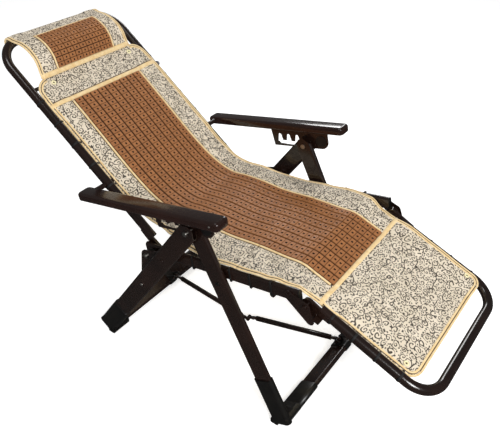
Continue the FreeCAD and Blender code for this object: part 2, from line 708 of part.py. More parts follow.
def round_hull(corners, thick):
    """Return a flat plate round a chain of discs: corners are (centre, radius) pairs, in the side view."""
    plate = None
    for index, (centre, radius) in enumerate(corners):
        disc = Part.makeCylinder(radius, thick, centre, V(0, 1, 0))
        plate = disc if plate is None else plate.fuse(disc)
        if index == 0:
            continue
        plate = plate.fuse(disc_bridge(corners[index - 1], corners[index], thick))
    if len(corners) > 2:
        plate = plate.fuse(disc_bridge(corners[-1], corners[0], thick))
        inside = Part.makePolygon([centre for centre, _ in corners] + [corners[0][0]])
        plate = plate.fuse(Part.Face(inside).extrude(V(0, thick, 0)))
    return plate.removeSplitter()


def disc_bridge(first, second, thick):
    """Return the plate between the outer tangents of two discs."""
    (start, start_radius), (end, end_radius) = first, second
    run = end - start
    axis = math.atan2(run.z, run.x)
    spread = math.acos((start_radius - end_radius) / run.Length)
    points = []
    for centre, radius, sign in ((start, start_radius, 1), (end, end_radius, 1), (end, end_radius, -1),
                                 (start, start_radius, -1)):
        angle = axis + sign * spread
        points.append(centre + V(radius * math.cos(angle), 0, radius * math.sin(angle)))
    return Part.Face(Part.makePolygon(points + [points[0]])).extrude(V(0, thick, 0))


def knee_bracket(name, side):
    """Make the folded knee bracket: two cheeks round the pivot, a web, and the rest under the foot tube."""
    thick = size("knee_plate")
    eye = (knee, size("knee_eye_radius"))
    toe_end = (foot.at(size("knee_toe_along"), -size("knee_toe_below")), size("knee_toe_radius"))
    rivet_at = seat.at(size("seat_length") + size("knee_ahead") - size("knee_rivet_back"))
    cheek = round_hull(((rivet_at, size("knee_rivet_radius")), eye, toe_end), thick)
    cheek.translate(V(0, seat_outer if side > 0 else -seat_outer - thick, 0))
    inner_cheek = disc_bridge(eye, toe_end, thick)
    for centre, radius in (eye, toe_end):
        inner_cheek = inner_cheek.fuse(Part.makeCylinder(radius, thick, centre, V(0, 1, 0)))
    inner_cheek.translate(V(0, seat_inner if side > 0 else -seat_inner - thick, 0))
    seat_core = stadium_prism(size("seat_length") + size("cap_thick"), size("seat_tube_high"),
                              size("seat_tube_thick"))
    seat_core.Placement = seat.place(0, 0, side * seat_level)
    low, high = sorted((side * seat_inner, side * (seat_outer + thick)))
    run = toe_end[0] - knee
    turn = FreeCAD.Rotation(V(0, 1, 0), -math.degrees(math.atan2(run.z, run.x)))
    web = Part.makeBox(run.Length, high - low, thick)
    web.Placement = FreeCAD.Placement(
        V(knee.x, low, knee.z) + turn.multVec(V(0, 0, -size("knee_toe_radius"))), turn)
    rest_level = -size("frame_tube_radius") - size("seat_gap") - thick
    rest_low, rest_high = sorted((side * size("frame_half_width"), side * (seat_outer + thick)))
    rest = Part.makeBox(size("knee_rest_long"), rest_high - rest_low, thick)
    rest.Placement = FreeCAD.Placement(
        foot.at(size("tube_setback"), rest_level) + V(0, rest_low, 0), foot.turn)
    bracket = cheek.fuse(inner_cheek).fuse(web).fuse(rest).cut(seat_core)
    bore = size("hinge_bolt_radius")
    bracket = bracket.cut(across(bore, knee, seat_inner - 1, seat_outer + thick + 1, side))
    rivet = size("rivet_radius")
    bracket = bracket.cut(across(rivet, rivet_at, seat_outer - 1, seat_outer + thick + 1, side))
    shape_node("knee_bracket_" + name, bracket.removeSplitter())
    return rivet_at


def end_caps(along):
    """Return the plastic caps that close both seat tubes at one place along the seat."""
    caps = []
    for _, side in SIDES:
        cap = stadium_prism(size("cap_thick"), size("seat_tube_high"), size("seat_tube_thick"))
        cap.Placement = seat.place(along, 0, side * seat_level)
        caps.append(cap)
    return caps


def build_legs():
    """Make both leg frames with their pivot pins, hip plates, pegs and washers."""
    pin_bore = size("leg_pin_radius") + size("running_gap")
    foot_rivet = rear_leg.at(size("hip_foot_along_leg"))
    top_rivet = rear_leg.at(size("hip_top_along_leg"))
    rivet = size("rivet_radius")
    leg_set("rear", rear_leg, rear_reach, rear_inner, rear_outer,
            [(pin_bore, leg_pivot), (rivet, foot_rivet), (rivet, top_rivet)])
    peg_centre = seat_peg_centre()
    leg_set("front", front_leg, front_reach, front_inner, front_outer,
            [(pin_bore, leg_pivot), (rivet, peg_centre)])
    pins, rivets, bolts, spacers, pegs, washers = [], [], [], [], [], []
    head = size("bolt_head_high")
    low_head = size("rivet_head_high")
    gap = size("seat_gap")
    tab_inner = tube_outer - size("tab_thick")
    washer_gap = size("washer_gap")
    bracket_half = size("bracket_thick") / 2 + gap
    plate = size("hip_plate_thick")
    for name, side in SIDES:
        pins.append(stepped_pin("leg_pin_" + name, leg_pivot, side, (
            ("<leg_pin_radius>", front_inner, rear_outer),
            ("<bolt_head_radius>", front_inner - low_head, front_inner),
            ("<bolt_head_radius>", rear_outer, rear_outer + head))))
        for number, centre in enumerate((foot_rivet, top_rivet)):
            rivets.append(stepped_pin("hip_rivet_%s_%d" % (name, number), centre, side, (
                ("<rivet_radius>", rear_inner - plate, rear_outer),
                ("<rivet_radius> * 2", rear_inner - plate - low_head, rear_inner - plate),
                ("<rivet_radius> * 2", rear_outer, rear_outer + low_head))))
        bolts.append(stepped_pin("hip_bolt_" + name, hip, side, (
            ("<bolt_head_radius>", tab_inner - head, tab_inner - gap),
            ("<hinge_bolt_radius>", tab_inner - head, rear_inner),
            ("<bolt_head_radius>", rear_inner, rear_inner + head))))
        spacer = across(size("spacer_radius"), hip, seat_outer + gap, rear_inner - plate, side)
        spacers.append(spacer.cut(across(size("hinge_bolt_radius"), hip, seat_outer, rear_inner, side)))
        pegs.append(stepped_pin("seat_peg_" + name, peg_centre, side, (
            ("<rivet_radius>", front_inner, front_outer),
            ("<peg_radius>", seat_inner + 1, front_inner),
            ("<peg_radius>", front_outer, front_outer + low_head))))
        for low, high in ((front_outer + washer_gap, bracket_level - bracket_half),
                          (bracket_level + bracket_half, rear_inner - washer_gap)):
            ring = across(size("washer_radius"), leg_pivot, low, high, side)
            washers.append(ring.cut(across(pin_bore, leg_pivot, low - 1, high + 1, side)))
        hip_plate(name, side, foot_rivet, top_rivet)
    group("leg_pins", pins)
    group("hip_rivets", rivets)
    group("hip_bolts", bolts)
    group("seat_pegs", pegs)
    shape_node("hip_spacers", Part.makeCompound(spacers))
    shape_node("leg_washers", Part.makeCompound(washers))


def hip_plate(name, side, foot_rivet, top_rivet):
    """Make the plate that carries the hip: three round corners, riveted twice to the leg."""
    thick = size("hip_plate_thick")
    hull = round_hull([(corner, size("hip_plate_radius")) for corner in (foot_rivet, hip, top_rivet)], thick)
    level = rear_inner - thick if side > 0 else -rear_inner
    hull.translate(V(0, level, 0))
    for radius, centre in ((size("rivet_radius"), foot_rivet), (size("rivet_radius"), top_rivet),
                           (size("hinge_bolt_radius"), hip)):
        hull = hull.cut(across(radius, centre, rear_inner - thick - 1, rear_inner + 1, side))
    shape_node("hip_plate_" + name, hull)


def seat_peg_centre():
    """Return the peg's centre on the front leg, where the seat tube's underside rests on it."""
    drop = size("seat_tube_high") / 2 + size("peg_radius") + size("seat_gap")
    lean = math.radians(size("front_leg_lean"))
    slope = math.radians(size("seat_slope"))
    across_gap = (leg_pivot - hip)
    above = -across_gap.x * math.sin(slope) + across_gap.z * math.cos(slope)
    along = (above + drop) / math.sin(lean + slope)
    return front_leg.at(along)


def build_seat():
    """Make the seat frame, its crossbars, the knee brackets and the seat length of the mat."""
    tail = size("seat_tail")
    length = "<seat_length> + <seat_tail>"
    bore = size("hinge_bolt_radius") + size("running_gap")
    rivets = []
    for name, side in SIDES:
        label = "seat_tube_" + name
        tube = flat_tube(label, "seat_tube_high", "seat_tube_thick", length,
                         seat.place(-tail, 0, side * seat_level))
        rivet_at = knee_bracket(name, side)
        rivet_bore = across(size("rivet_radius"), rivet_at, seat_inner - 2, seat_outer + 2, side)
        bored(label, tube, [across(bore, hip, seat_inner - 2, seat_outer + 2, side), rivet_bore])
        rivets.append(stepped_pin("knee_rivet_" + name, rivet_at, side, (
            ("<rivet_radius>", seat_inner, seat_outer + size("knee_plate")),
            ("<rivet_radius> * 2", seat_outer + size("knee_plate"),
             seat_outer + size("knee_plate") + size("rivet_head_high")))))
    group("knee_rivets", rivets)
    bar_level = -size("seat_tube_high") / 2 - size("bar_radius")
    crossbar("seat_bar_rear", seat, size("seat_bar_rear"), bar_level, "bar_radius", seat_level)
    crossbar("seat_bar_front", seat, size("seat_bar_front"), bar_level, "bar_radius", seat_level)
    caps = end_caps(size("seat_length")) + end_caps(-tail - size("cap_thick"))
    shape_node("seat_tube_caps", Part.makeCompound(caps))
    bolts = []
    head = size("bolt_head_high")
    plate = size("knee_plate")
    inner = tube_outer - size("tab_thick")
    for name, side in SIDES:
        bolts.append(stepped_pin("knee_bolt_" + name, knee, side, (
            ("<hinge_bolt_radius>", inner - head, seat_outer + plate),
            ("<bolt_head_radius>", inner - head, inner - size("seat_gap")),
            ("<bolt_head_radius>", seat_outer + plate, seat_outer + plate + head))))
    group("knee_bolts", bolts)
    seat_mat()
    curve = seat_mat_curve(0)
    stations = []
    for number in range(5):
        part = (number + 0.5) / 5
        point = curve.value(curve.FirstParameter + (curve.LastParameter - curve.FirstParameter) * part)
        stations.append((point.x, point.z))
    elastic_loops("seat_loops", seat, stations, seat_mat_half, seat_level, seat_tube_at)


def loop_stations(start, end, sag, count, lift):
    """Return where the loops lie along a sagging mat: (along, level) on its underside."""
    stations = []
    for number in range(count):
        part = (number + 0.5) / count
        along = start + (end - start) * part
        dip = sag * (1 - (2 * part - 1) ** 2)
        stations.append((along, lift - math.copysign(dip, lift)))
    return stations


def build_back():
    """Make the back frame, its bars, the armrest studs and the back length of the mat."""
    tube = bent_frame("back_tube", back, "tube_setback", "back_length", "frame_half_width", "back_bend")
    tabs = [hinge_tab("back_tab_" + name, back, side) for name, side in SIDES]
    stud_holes = [across(size("hinge_bolt_radius"), arm_pivot, tube_inner - 2, tube_outer + 2, side)
                  for _, side in SIDES]
    bored("back_tube", tube, tabs + stud_holes)
    shape_node("back_tabs", Part.makeCompound(tabs))
    rear = size("frame_tube_radius") + size("bar_radius")
    crossbar("back_bar_low", back, size("back_bar_low"), rear, "bar_radius", size("frame_half_width"))
    coped_bar("back_bar_high", back, size("back_bar_high"), size("bar_radius"))
    studs = []
    head = size("bolt_head_high")
    depth = size("stud_depth")
    inner = armrest_inner
    for name, side in SIDES:
        studs.append(stepped_pin("arm_stud_" + name, arm_pivot, side, (
            ("<hinge_bolt_radius>", tube_inner - 2, inner + depth),
            ("<bolt_head_radius>", tube_inner - head, tube_inner),
            ("<spacer_radius>", tube_outer, inner - size("seat_gap")))))
    group("arm_studs", studs)
    start = size("back_mat_start")
    end = size("back_mat_end")
    sag = size("back_mat_sag")
    lift = -size("back_mat_lift")
    mat_strip("back_mat", back, start, end, sag, lift, mat_half)
    elastic_loops("back_loops", back, loop_stations(start, end, sag, 6, lift), mat_half,
                  size("frame_half_width"), round_tube_at(back))
    head_roll()


def build_footrest():
    """Make the footrest frame, its bar and the foot length of the mat."""
    tube = bent_frame("foot_tube", foot, "tube_setback", "foot_length", "frame_half_width", "foot_bend")
    tabs = [hinge_tab("foot_tab_" + name, foot, side) for name, side in SIDES]
    bored("foot_tube", tube, tabs)
    shape_node("foot_tabs", Part.makeCompound(tabs))
    coped_bar("foot_bar", foot, size("foot_bar_at"), -size("bar_radius") - size("tube_wall"))
    start = size("foot_mat_start")
    end = size("foot_mat_end")
    sag = size("foot_mat_sag")
    lift = size("foot_mat_lift")
    mat_strip("foot_mat", foot, start, end, sag, lift, mat_half)
    elastic_loops("foot_loops", foot, loop_stations(start, end, sag, 4, lift), mat_half,
                  size("frame_half_width"), round_tube_at(foot))


def build_armrests():
    """Make both armrests with their notched brackets and screws."""
    for name, side in SIDES:
        armrest(name, side)
        lug = arm_bracket(name, side)
        arm_lug(name, side, lug)


def build_brace():
    """Make the central folding brace: a clip and an arm from each floor bar, and the middle joint."""
    rear_pivot = rear_leg.at(rear_reach - size("rear_clip_rise"), size("rear_clip_ahead"))
    front_pivot = front_leg.at(front_reach - size("front_clip_rise"))
    joint = rear_pivot + polar(size("brace_rear_length"), -size("brace_sag"))
    rear_level = size("brace_side")
    front_level = size("brace_front_side")
    joint_level = rear_level + size("brace_eye_thick") + size("brace_space")
    floor_clip("rear", rear_leg, rear_reach, rear_pivot, rear_level)
    floor_clip("front", front_leg, front_reach, front_pivot, front_level)
    brace_arm("brace_rear_arm", rear_pivot, rear_level, joint, rear_level)
    brace_arm("brace_front_arm", front_pivot, front_level, joint, joint_level)
    half = size("brace_eye_thick") / 2
    rivet = stepped_pin("brace_rivet", joint, 1, (
        ("<rivet_radius>", rear_level - half, rear_level + half),
        ("<brace_radius>", rear_level - half - size("rivet_head_high"), rear_level - half),
        ("<brace_radius>", rear_level + half, joint_level - half - size("brace_gap"))))
    node(rivet, "brace_rivet")


def floor_clip(prefix, frame, reach, pivot, level):
    """Make the plastic clip round a floor bar, with the two ears and the pin that carry a brace arm."""
    wall = size("clip_wall")
    half = size("clip_wide") / 2
    eye = size("brace_eye_radius")
    pin_radius = size("rivet_radius")
    centre = frame.at(reach)
    clip = floor_bar_solid(frame, reach, level - half, level + half, wall)
    toward = pivot - centre
    turn = FreeCAD.Rotation(V(0, 1, 0), -math.degrees(math.atan2(toward.z, toward.x)))
    ear = size("clip_ear")
    for low in (level - half, level + half - ear):
        strap = Part.makeBox(toward.Length, ear, 2 * eye)
        strap.Placement = FreeCAD.Placement(centre + V(0, low, 0) + turn.multVec(V(0, 0, -eye)), turn)
        clip = clip.fuse(strap).fuse(Part.makeCylinder(eye, ear, pivot + V(0, low, 0), V(0, 1, 0)))
    clip = clip.cut(floor_bar_solid(frame, reach, level - half - 1, level + half + 1))
    clip = clip.cut(across(pin_radius, pivot, level - half - 1, level + half + 1, 1))
    shape_node(prefix + "_brace_clip", clip.removeSplitter())
    pin = stepped_pin(prefix + "_brace_pin", pivot, 1, (
        ("<rivet_radius>", level - half, level + half),
        ("<rivet_radius> * 2", level - half - size("rivet_head_high"), level - half),
        ("<rivet_radius> * 2", level + half, level + half + size("rivet_head_high"))))
    node(pin, prefix + "_brace_pin")


def brace_arm(label, pivot, pivot_level, joint, joint_level):
    """Make one brace arm: a round bar between two flattened eyes, one at its clip and one at the joint."""
    bore = size("rivet_radius") + size("running_gap")
    eye = size("brace_eye_radius")
    thick = size("brace_eye_thick")
    start = pivot + V(0, pivot_level, 0)
    end = joint + V(0, joint_level, 0)
    run = end - start
    step = V(run.x, run.y, run.z).normalize() * size("brace_bar_inset")
    neck_long = size("brace_neck_long")
    neck_wide = size("brace_neck_wide")
    bar = Part.makeCylinder(size("brace_radius"), (run - step * 2).Length, start + step, run)
    turn = FreeCAD.Rotation(V(0, 1, 0), -math.degrees(math.atan2(run.z, run.x)))
    arm_shape = bar
    for centre, inward in ((start, 1), (end, -1)):
        disc = Part.makeCylinder(eye, thick, centre - V(0, thick / 2, 0), V(0, 1, 0))
        neck = Part.makeBox(neck_long, thick, neck_wide)
        neck_from = 0 if inward > 0 else -neck_long
        neck.Placement = FreeCAD.Placement(
            centre + turn.multVec(V(neck_from, -thick / 2, -neck_wide / 2)), turn)
        arm_shape = arm_shape.fuse(disc).fuse(neck)
    for centre in (start, end):
        arm_shape = arm_shape.cut(across(bore, centre, centre.y - eye, centre.y + eye, 1))
    shape_node(label, arm_shape.removeSplitter())


build_legs()
build_seat()
build_back()
build_footrest()
build_armrests()
build_brace()
doc.recompute()

# Every object has to be sound before anything is written
for item in doc.Objects:
    if "Invalid" in item.State or "Error" in item.State:
        raise RuntimeError("%s failed: %s" % (item.Name, item.State))
os.makedirs("parts", exist_ok=True)
for piece in nodes:
    if piece.Shape.isNull() or not piece.Shape.isValid():
        raise RuntimeError("%s has no valid shape" % piece.Label)
    piece.Shape.exportStep("parts/%s.step" % piece.Label)
print("wrote", len(nodes), "pieces")
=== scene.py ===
"""Looks of a folding recliner: printed cotton mat with bamboo tiles on an enamelled steel frame.

Every length is in metres in the row's frame: +X towards the footrest, +Y towards the sitter's left, +Z up.
A size that is an angle is in degrees.
"""

import json
import logging
import math
from bisect import bisect_right
from dataclasses import dataclass, field
from enum import Enum
from typing import Iterable, Sequence

import bmesh
import bpy
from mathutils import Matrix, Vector

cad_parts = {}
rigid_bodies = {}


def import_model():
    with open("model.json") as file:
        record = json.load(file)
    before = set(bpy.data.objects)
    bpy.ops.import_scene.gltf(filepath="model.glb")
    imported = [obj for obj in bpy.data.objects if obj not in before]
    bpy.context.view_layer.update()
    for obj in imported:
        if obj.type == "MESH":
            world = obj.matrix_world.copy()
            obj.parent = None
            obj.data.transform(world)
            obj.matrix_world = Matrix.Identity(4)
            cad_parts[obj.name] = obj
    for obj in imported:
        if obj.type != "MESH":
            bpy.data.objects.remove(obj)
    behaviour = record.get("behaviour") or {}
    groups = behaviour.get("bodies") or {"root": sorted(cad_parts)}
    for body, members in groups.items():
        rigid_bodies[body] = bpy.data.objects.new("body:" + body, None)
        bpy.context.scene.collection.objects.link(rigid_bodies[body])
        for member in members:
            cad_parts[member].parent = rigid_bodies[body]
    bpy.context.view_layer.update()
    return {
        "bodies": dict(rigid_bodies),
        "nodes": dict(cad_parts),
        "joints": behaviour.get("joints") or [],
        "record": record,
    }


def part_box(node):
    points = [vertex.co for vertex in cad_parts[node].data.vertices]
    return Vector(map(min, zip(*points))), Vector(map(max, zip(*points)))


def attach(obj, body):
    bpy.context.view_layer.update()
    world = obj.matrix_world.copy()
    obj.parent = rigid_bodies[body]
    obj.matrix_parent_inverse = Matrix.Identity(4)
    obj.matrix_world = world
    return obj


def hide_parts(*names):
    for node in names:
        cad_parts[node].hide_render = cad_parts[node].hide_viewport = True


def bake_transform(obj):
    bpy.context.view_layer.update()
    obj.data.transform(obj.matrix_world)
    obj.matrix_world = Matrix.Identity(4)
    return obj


logging.basicConfig(level=logging.INFO, format="%(message)s")
LOG = logging.getLogger("recliner")

MM = 0.001
SIDES = (("left", 1.0), ("right", -1.0))
FORWARD = Vector((1, 0, 0))
LEFTWARD = Vector((0, 1, 0))
UPWARD = Vector((0, 0, 1))

MATH = "ShaderNodeMath"
VECTOR_MATH = "ShaderNodeVectorMath"
NOISE = "ShaderNodeTexNoise"
VORONOI = "ShaderNodeTexVoronoi"
MIX = "ShaderNodeMix"
# A Mix node's two colours and its mixed colour, which share their names with its other types of value
MIX_FIRST, MIX_SECOND, MIX_RESULT = 6, 7, 2

Tree = bpy.types.NodeTree
Socket = bpy.types.NodeSocket
Node = bpy.types.Node
# What feeds a node's input: a socket, or a node whose first output is meant
Source = Socket | Node
# The points of a mesh, and the corners of its faces
Shape = tuple[list[Vector], list[list[int]]]
# Two lengths that belong together, such as how far along a sheet and how far across the chair a point lies
Pair = tuple[float, float]
# Where a small piece is laid: its centre, its upward direction and its forward direction
Spot = tuple[Vector, Vector, Vector]

# The cloth's upper face at the middle of the mat, in millimetres along each member and above it
MAT_ON_BACK = ((634, 17), (600, 16), (545, 17), (400, 14), (250, 10), (160, 14), (98, 27), (48, 50))
MAT_ON_SEAT = ((59, 65), (116, 58), (213, 39), (317, 31), (408, 18), (462, 11), (504, -11))
MAT_ON_FOOT = ((14, -2), (70, 6), (160, 6), (324, 4))
# Half the mat's width on each side, in millimetres at the knots of its middle line. The mat lies a little
# to the left. Its left edge rests on the tubes, and its right edge rests on the seat's tube and hangs
# inside the others
MAT_HALF_WIDTH = {
    1.0: {0: 226, 2: 231, 5: 231, 7: 234, 8: 240, 9: 257, 12: 257, 13: 247, 14: 241, 15: 228, 16: 226,
          18: 226},
    -1.0: {0: 222, 2: 226, 3: 214.5, 4: 212, 5: 213, 6: 214, 7: 218, 8: 233, 9: 249, 10: 257, 12: 257,
           13: 255, 14: 250, 15: 227, 17: 213, 18: 213}}
# How far each edge lies below the mat's middle, in millimetres at the same knots
MAT_EDGE_DROP = {
    1.0: {0: -4, 2: -4, 3: -7, 4: -11, 5: -5, 6: 2, 7: 1, 8: 5, 9: 24, 10: 14, 11: 7, 12: -5, 13: -7, 14: 1,
          15: -10, 16: -14, 18: -15},
    -1.0: {0: 2, 2: 4, 3: 20, 4: 25, 5: 22, 6: 18, 7: 10, 8: 13, 9: 20, 10: 12, 11: 7, 12: -5, 13: -13,
           14: -31, 15: -6, 16: 12, 17: 20, 18: 11}}


def linear(hex_colour: str) -> tuple[float, float, float, float]:
    """Turn an sRGB hex colour into the linear colour that a shader takes.

    Args:
        hex_colour: Six hex digits with a leading hash sign.

    Returns:
        Red, green, blue and alpha, each from 0 to 1.
    """
    parts = [int(hex_colour[i:i + 2], 16) / 255 for i in (1, 3, 5)]
    lit = [p / 12.92 if p <= 0.04045 else ((p + 0.055) / 1.055) ** 2.4 for p in parts]
    return (lit[0], lit[1], lit[2], 1.0)


def add_node(tree: Tree, kind: str, inputs: dict | tuple = (), **settings: object) -> Node:
    """Add a node with its settings, and link or set its inputs.

    Args:
        tree: The node tree.
        kind: The node's type.
        inputs: What feeds the inputs, by their name or number, or in their order: a value, a socket, or
            a node whose first output is meant.
        settings: The node's own properties.

    Returns:
        The new node.
    """
    node = tree.nodes.new(kind)
    for name, value in settings.items():
        setattr(node, name, value)
    for key, value in inputs.items() if isinstance(inputs, dict) else enumerate(inputs):
        source = value.outputs[0] if isinstance(value, Node) else value
        if isinstance(source, Socket):
            tree.links.new(source, node.inputs[key])
        else:
            node.inputs[key].default_value = source
    return node


@dataclass(frozen=True)
class Finish:
    """A surface: what the real one is, and how its grain breaks up the light.

    Its tone drifts between two colours in patches, its grain stands out by its relief, and both are
    stretched along the axes. Clouds are the shares of a noise at which a patch begins and is full. The
    roughness wanders between its glossier and its duller share.
    """

    name: str
    colour: str
    shade: str
    roughness: float
    metallic: float = 0.0
    coat: float = 0.0
    sheen: float = 0.0
    patch: float = 30 * MM
    grain: float = 1.2 * MM
    relief: float = 0.05 * MM
    stretch: tuple[float, float, float] = (1.0, 1.0, 1.0)
    coat_roughness: float = 0.12
    clouds: tuple[float, float] = (0.35, 0.7)
    glossier: float = 0.75
    duller: float = 1.3

    def start(self) -> tuple[bpy.types.Material, Tree, Node]:
        """Make an empty material with its shader.

        Returns:
            The material, its node tree and its shader.
        """
        material = bpy.data.materials.new(self.name)
        material.use_nodes = True
        tree = material.node_tree
        tree.nodes.clear()
        shader = add_node(tree, "ShaderNodeBsdfPrincipled", {
            "Base Color": linear(self.colour), "Roughness": self.roughness, "Metallic": self.metallic,
            "Coat Weight": self.coat, "Coat Roughness": self.coat_roughness, "Sheen Weight": self.sheen})
        add_node(tree, "ShaderNodeOutputMaterial", {"Surface": shader})
        return material, tree, shader

    def dress(self, tree: Tree, shader: Node, colour: Socket, height: Source) -> None:
        """Give a shader its base colour and its relief.

        Args:
            tree: The material's node tree.
            shader: The shader.
            colour: The base colour.
            height: The height of the grain or the weave, from 0 to 1.
        """
        relief = add_node(tree, "ShaderNodeBump", {
            "Height": height, "Distance": self.relief, "Strength": 1.0})
        tree.links.new(colour, shader.inputs["Base Color"])
        tree.links.new(relief.outputs[0], shader.inputs["Normal"])

    def tone(self, tree: Tree, place: Source) -> Socket:
        """Make the base colour, which drifts between the two tones in soft patches.

        Args:
            tree: The material's node tree.
            place: The coordinates in metres.

        Returns:
            The colour's socket.
        """
        low, high = self.clouds
        cloud = add_node(tree, NOISE, {"Vector": place, "Scale": 1 / self.patch, "Detail": 4.0})
        share = add_node(tree, "ShaderNodeMapRange", {"Value": cloud, "From Min": low, "From Max": high})
        mix = add_node(tree, MIX, {
            "Factor": share, MIX_FIRST: linear(self.colour), MIX_SECOND: linear(self.shade)},
            data_type="RGBA")
        return mix.outputs[MIX_RESULT]

    def build(self) -> bpy.types.Material:
        """Make the material: two tones in patches, fine grain relief and uneven gloss.

        Returns:
            The new material.
        """
        material, tree, shader = self.start()
        coord = add_node(tree, "ShaderNodeTexCoord").outputs["Object"]
        place = add_node(tree, "ShaderNodeMapping", {"Vector": coord, "Scale": self.stretch})
        grain = add_node(tree, NOISE, {"Vector": place, "Scale": 1 / self.grain, "Detail": 3.0})
        self.dress(tree, shader, self.tone(tree, place), grain)
        wear = add_node(tree, NOISE, {"Vector": coord, "Scale": 1 / (self.patch * 2), "Detail": 5.0})
        gloss = add_node(tree, "ShaderNodeMapRange", {
            "Value": wear, "To Min": self.roughness * self.glossier, "To Max": self.roughness * self.duller})
        tree.links.new(gloss.outputs[0], shader.inputs["Roughness"])
        return material


@dataclass(frozen=True)
class PrintedCloth(Finish):
    """Woven cotton with a scroll print: loose curls, the stems between them, and small leaves.

    Curl, stem and leaf are the sizes of their cells. A line's width is a share of its own cell or turn.
    """

    ink: str = "#1f1207"
    ink_cover: float = 0.94
    thread: float = 0.9 * MM
    sway: float = 0.9
    curl: float = 24 * MM
    curl_scatter: float = 0.6
    curl_reach: float = 0.44
    curl_line: float = 0.18
    eye_reach: float = 0.055
    turn_pitch: float = 7.0 * MM
    stem: float = 34 * MM
    stem_scatter: float = 0.9
    stem_line: float = 0.036
    leaf: float = 8.4 * MM
    leaf_scatter: float = 0.85
    leaf_reach: float = 0.27
    leaf_clear: float = 0.43

    def build(self) -> bpy.types.Material:
        """Make the material from the piece's own cloth map, which is in metres.

        Returns:
            The new material.
        """
        material, tree, shader = self.start()
        cloth = add_node(tree, "ShaderNodeUVMap", uv_map="cloth").outputs[0]
        printed = add_node(tree, MIX, {
            "Factor": self.print_mask(tree, cloth), MIX_FIRST: self.tone(tree, cloth),
            MIX_SECOND: linear(self.ink)}, data_type="RGBA")
        self.dress(tree, shader, printed.outputs[MIX_RESULT], self.weave(tree, cloth))
        return material

    def weave(self, tree: Tree, cloth: Socket) -> Node:
        """Make a plain weave's height: threads that pass over and under each other.

        Args:
            tree: The material's node tree.
            cloth: The cloth map.

        Returns:
            The node whose first output is the height, from 0 to 1.
        """
        axes = add_node(tree, "ShaderNodeSeparateXYZ", (cloth,))
        waves = []
        for axis in ("X", "Y"):
            turned = add_node(tree, MATH, (axes.outputs[axis], math.tau / self.thread), operation="MULTIPLY")
            waves.append(add_node(tree, MATH, (turned,), operation="SINE"))
        crossed = add_node(tree, MATH, tuple(waves), operation="MULTIPLY")
        return add_node(tree, MATH, (crossed, 0.5, 0.5), operation="MULTIPLY_ADD")

    def print_mask(self, tree: Tree, cloth: Socket) -> Node:
        """Make the mask of the ink, over curls, stems and leaves that sway out of their even rows.

        Args:
            tree: The material's node tree.
            cloth: The cloth map.

        Returns:
            The node whose first output is the ink's cover, and 0 on the bare ground.
        """
        drift = add_node(tree, NOISE, {"Vector": cloth, "Scale": 1 / self.stem, "Detail": 1.0})
        centred = add_node(tree, VECTOR_MATH, (drift.outputs["Color"], (0.5, 0.5, 0.5)), operation="SUBTRACT")
        bend = add_node(tree, VECTOR_MATH, {0: centred, "Scale": self.curl * self.sway}, operation="SCALE")
        bent = add_node(tree, VECTOR_MATH, (cloth, bend), operation="ADD")
        curls, reach = self.curls(tree, bent)
        between = (self.stems(tree, cloth, bent), self.leaves(tree, bent, reach))
        rest = add_node(tree, MATH, between, operation="MAXIMUM")
        drawn = add_node(tree, MATH, (curls, rest), operation="MAXIMUM")
        return add_node(tree, MATH, (drawn, self.ink_cover), operation="MULTIPLY")

    def curls(self, tree: Tree, bent: Source) -> tuple[Node, Socket]:
        """Make the curls: a spiral in every cell, left or right handed and begun at any turn.

        Args:
            tree: The material's node tree.
            bent: The swaying cloth map.

        Returns:
            The curls' mask, and the distance from the nearest curl's eye.
        """
        cell = add_node(tree, VORONOI, {
            "Vector": bent, "Scale": 1 / self.curl, "Randomness": self.curl_scatter}, voronoi_dimensions="2D")
        away = add_node(tree, VECTOR_MATH, (bent, cell.outputs["Position"]), operation="SUBTRACT")
        reach = add_node(tree, VECTOR_MATH, (away,), operation="LENGTH").outputs["Value"]
        axes = add_node(tree, "ShaderNodeSeparateXYZ", (away,))
        chance = add_node(tree, "ShaderNodeSeparateColor", (cell.outputs["Color"],))
        coin = add_node(tree, MATH, (chance.outputs[0], 0.5), operation="GREATER_THAN")
        hand = add_node(tree, MATH, (coin, 2.0, -1.0), operation="MULTIPLY_ADD")
        angle = add_node(tree, MATH, (axes.outputs["Y"], axes.outputs["X"]), operation="ARCTAN2")
        turns = add_node(tree, MATH, (angle, 1 / math.tau), operation="MULTIPLY")
        handed = add_node(tree, MATH, (turns, hand), operation="MULTIPLY")
        wound = add_node(tree, MATH, (reach, 1 / self.turn_pitch, handed), operation="MULTIPLY_ADD")
        begun = add_node(tree, MATH, (wound, chance.outputs[1]), operation="ADD")
        share = add_node(tree, MATH, (begun,), operation="FRACT")
        offset = add_node(tree, MATH, (share, 0.5), operation="SUBTRACT")
        nearness = add_node(tree, MATH, (offset,), operation="ABSOLUTE")
        line = add_node(tree, MATH, (nearness, self.curl_line), operation="LESS_THAN")
        inside = add_node(tree, MATH, (reach, self.curl * self.curl_reach), operation="LESS_THAN")
        spiral = add_node(tree, MATH, (line, inside), operation="MULTIPLY")
        eye = add_node(tree, MATH, (reach, self.curl * self.eye_reach), operation="LESS_THAN")
        return add_node(tree, MATH, (spiral, eye), operation="MAXIMUM"), reach

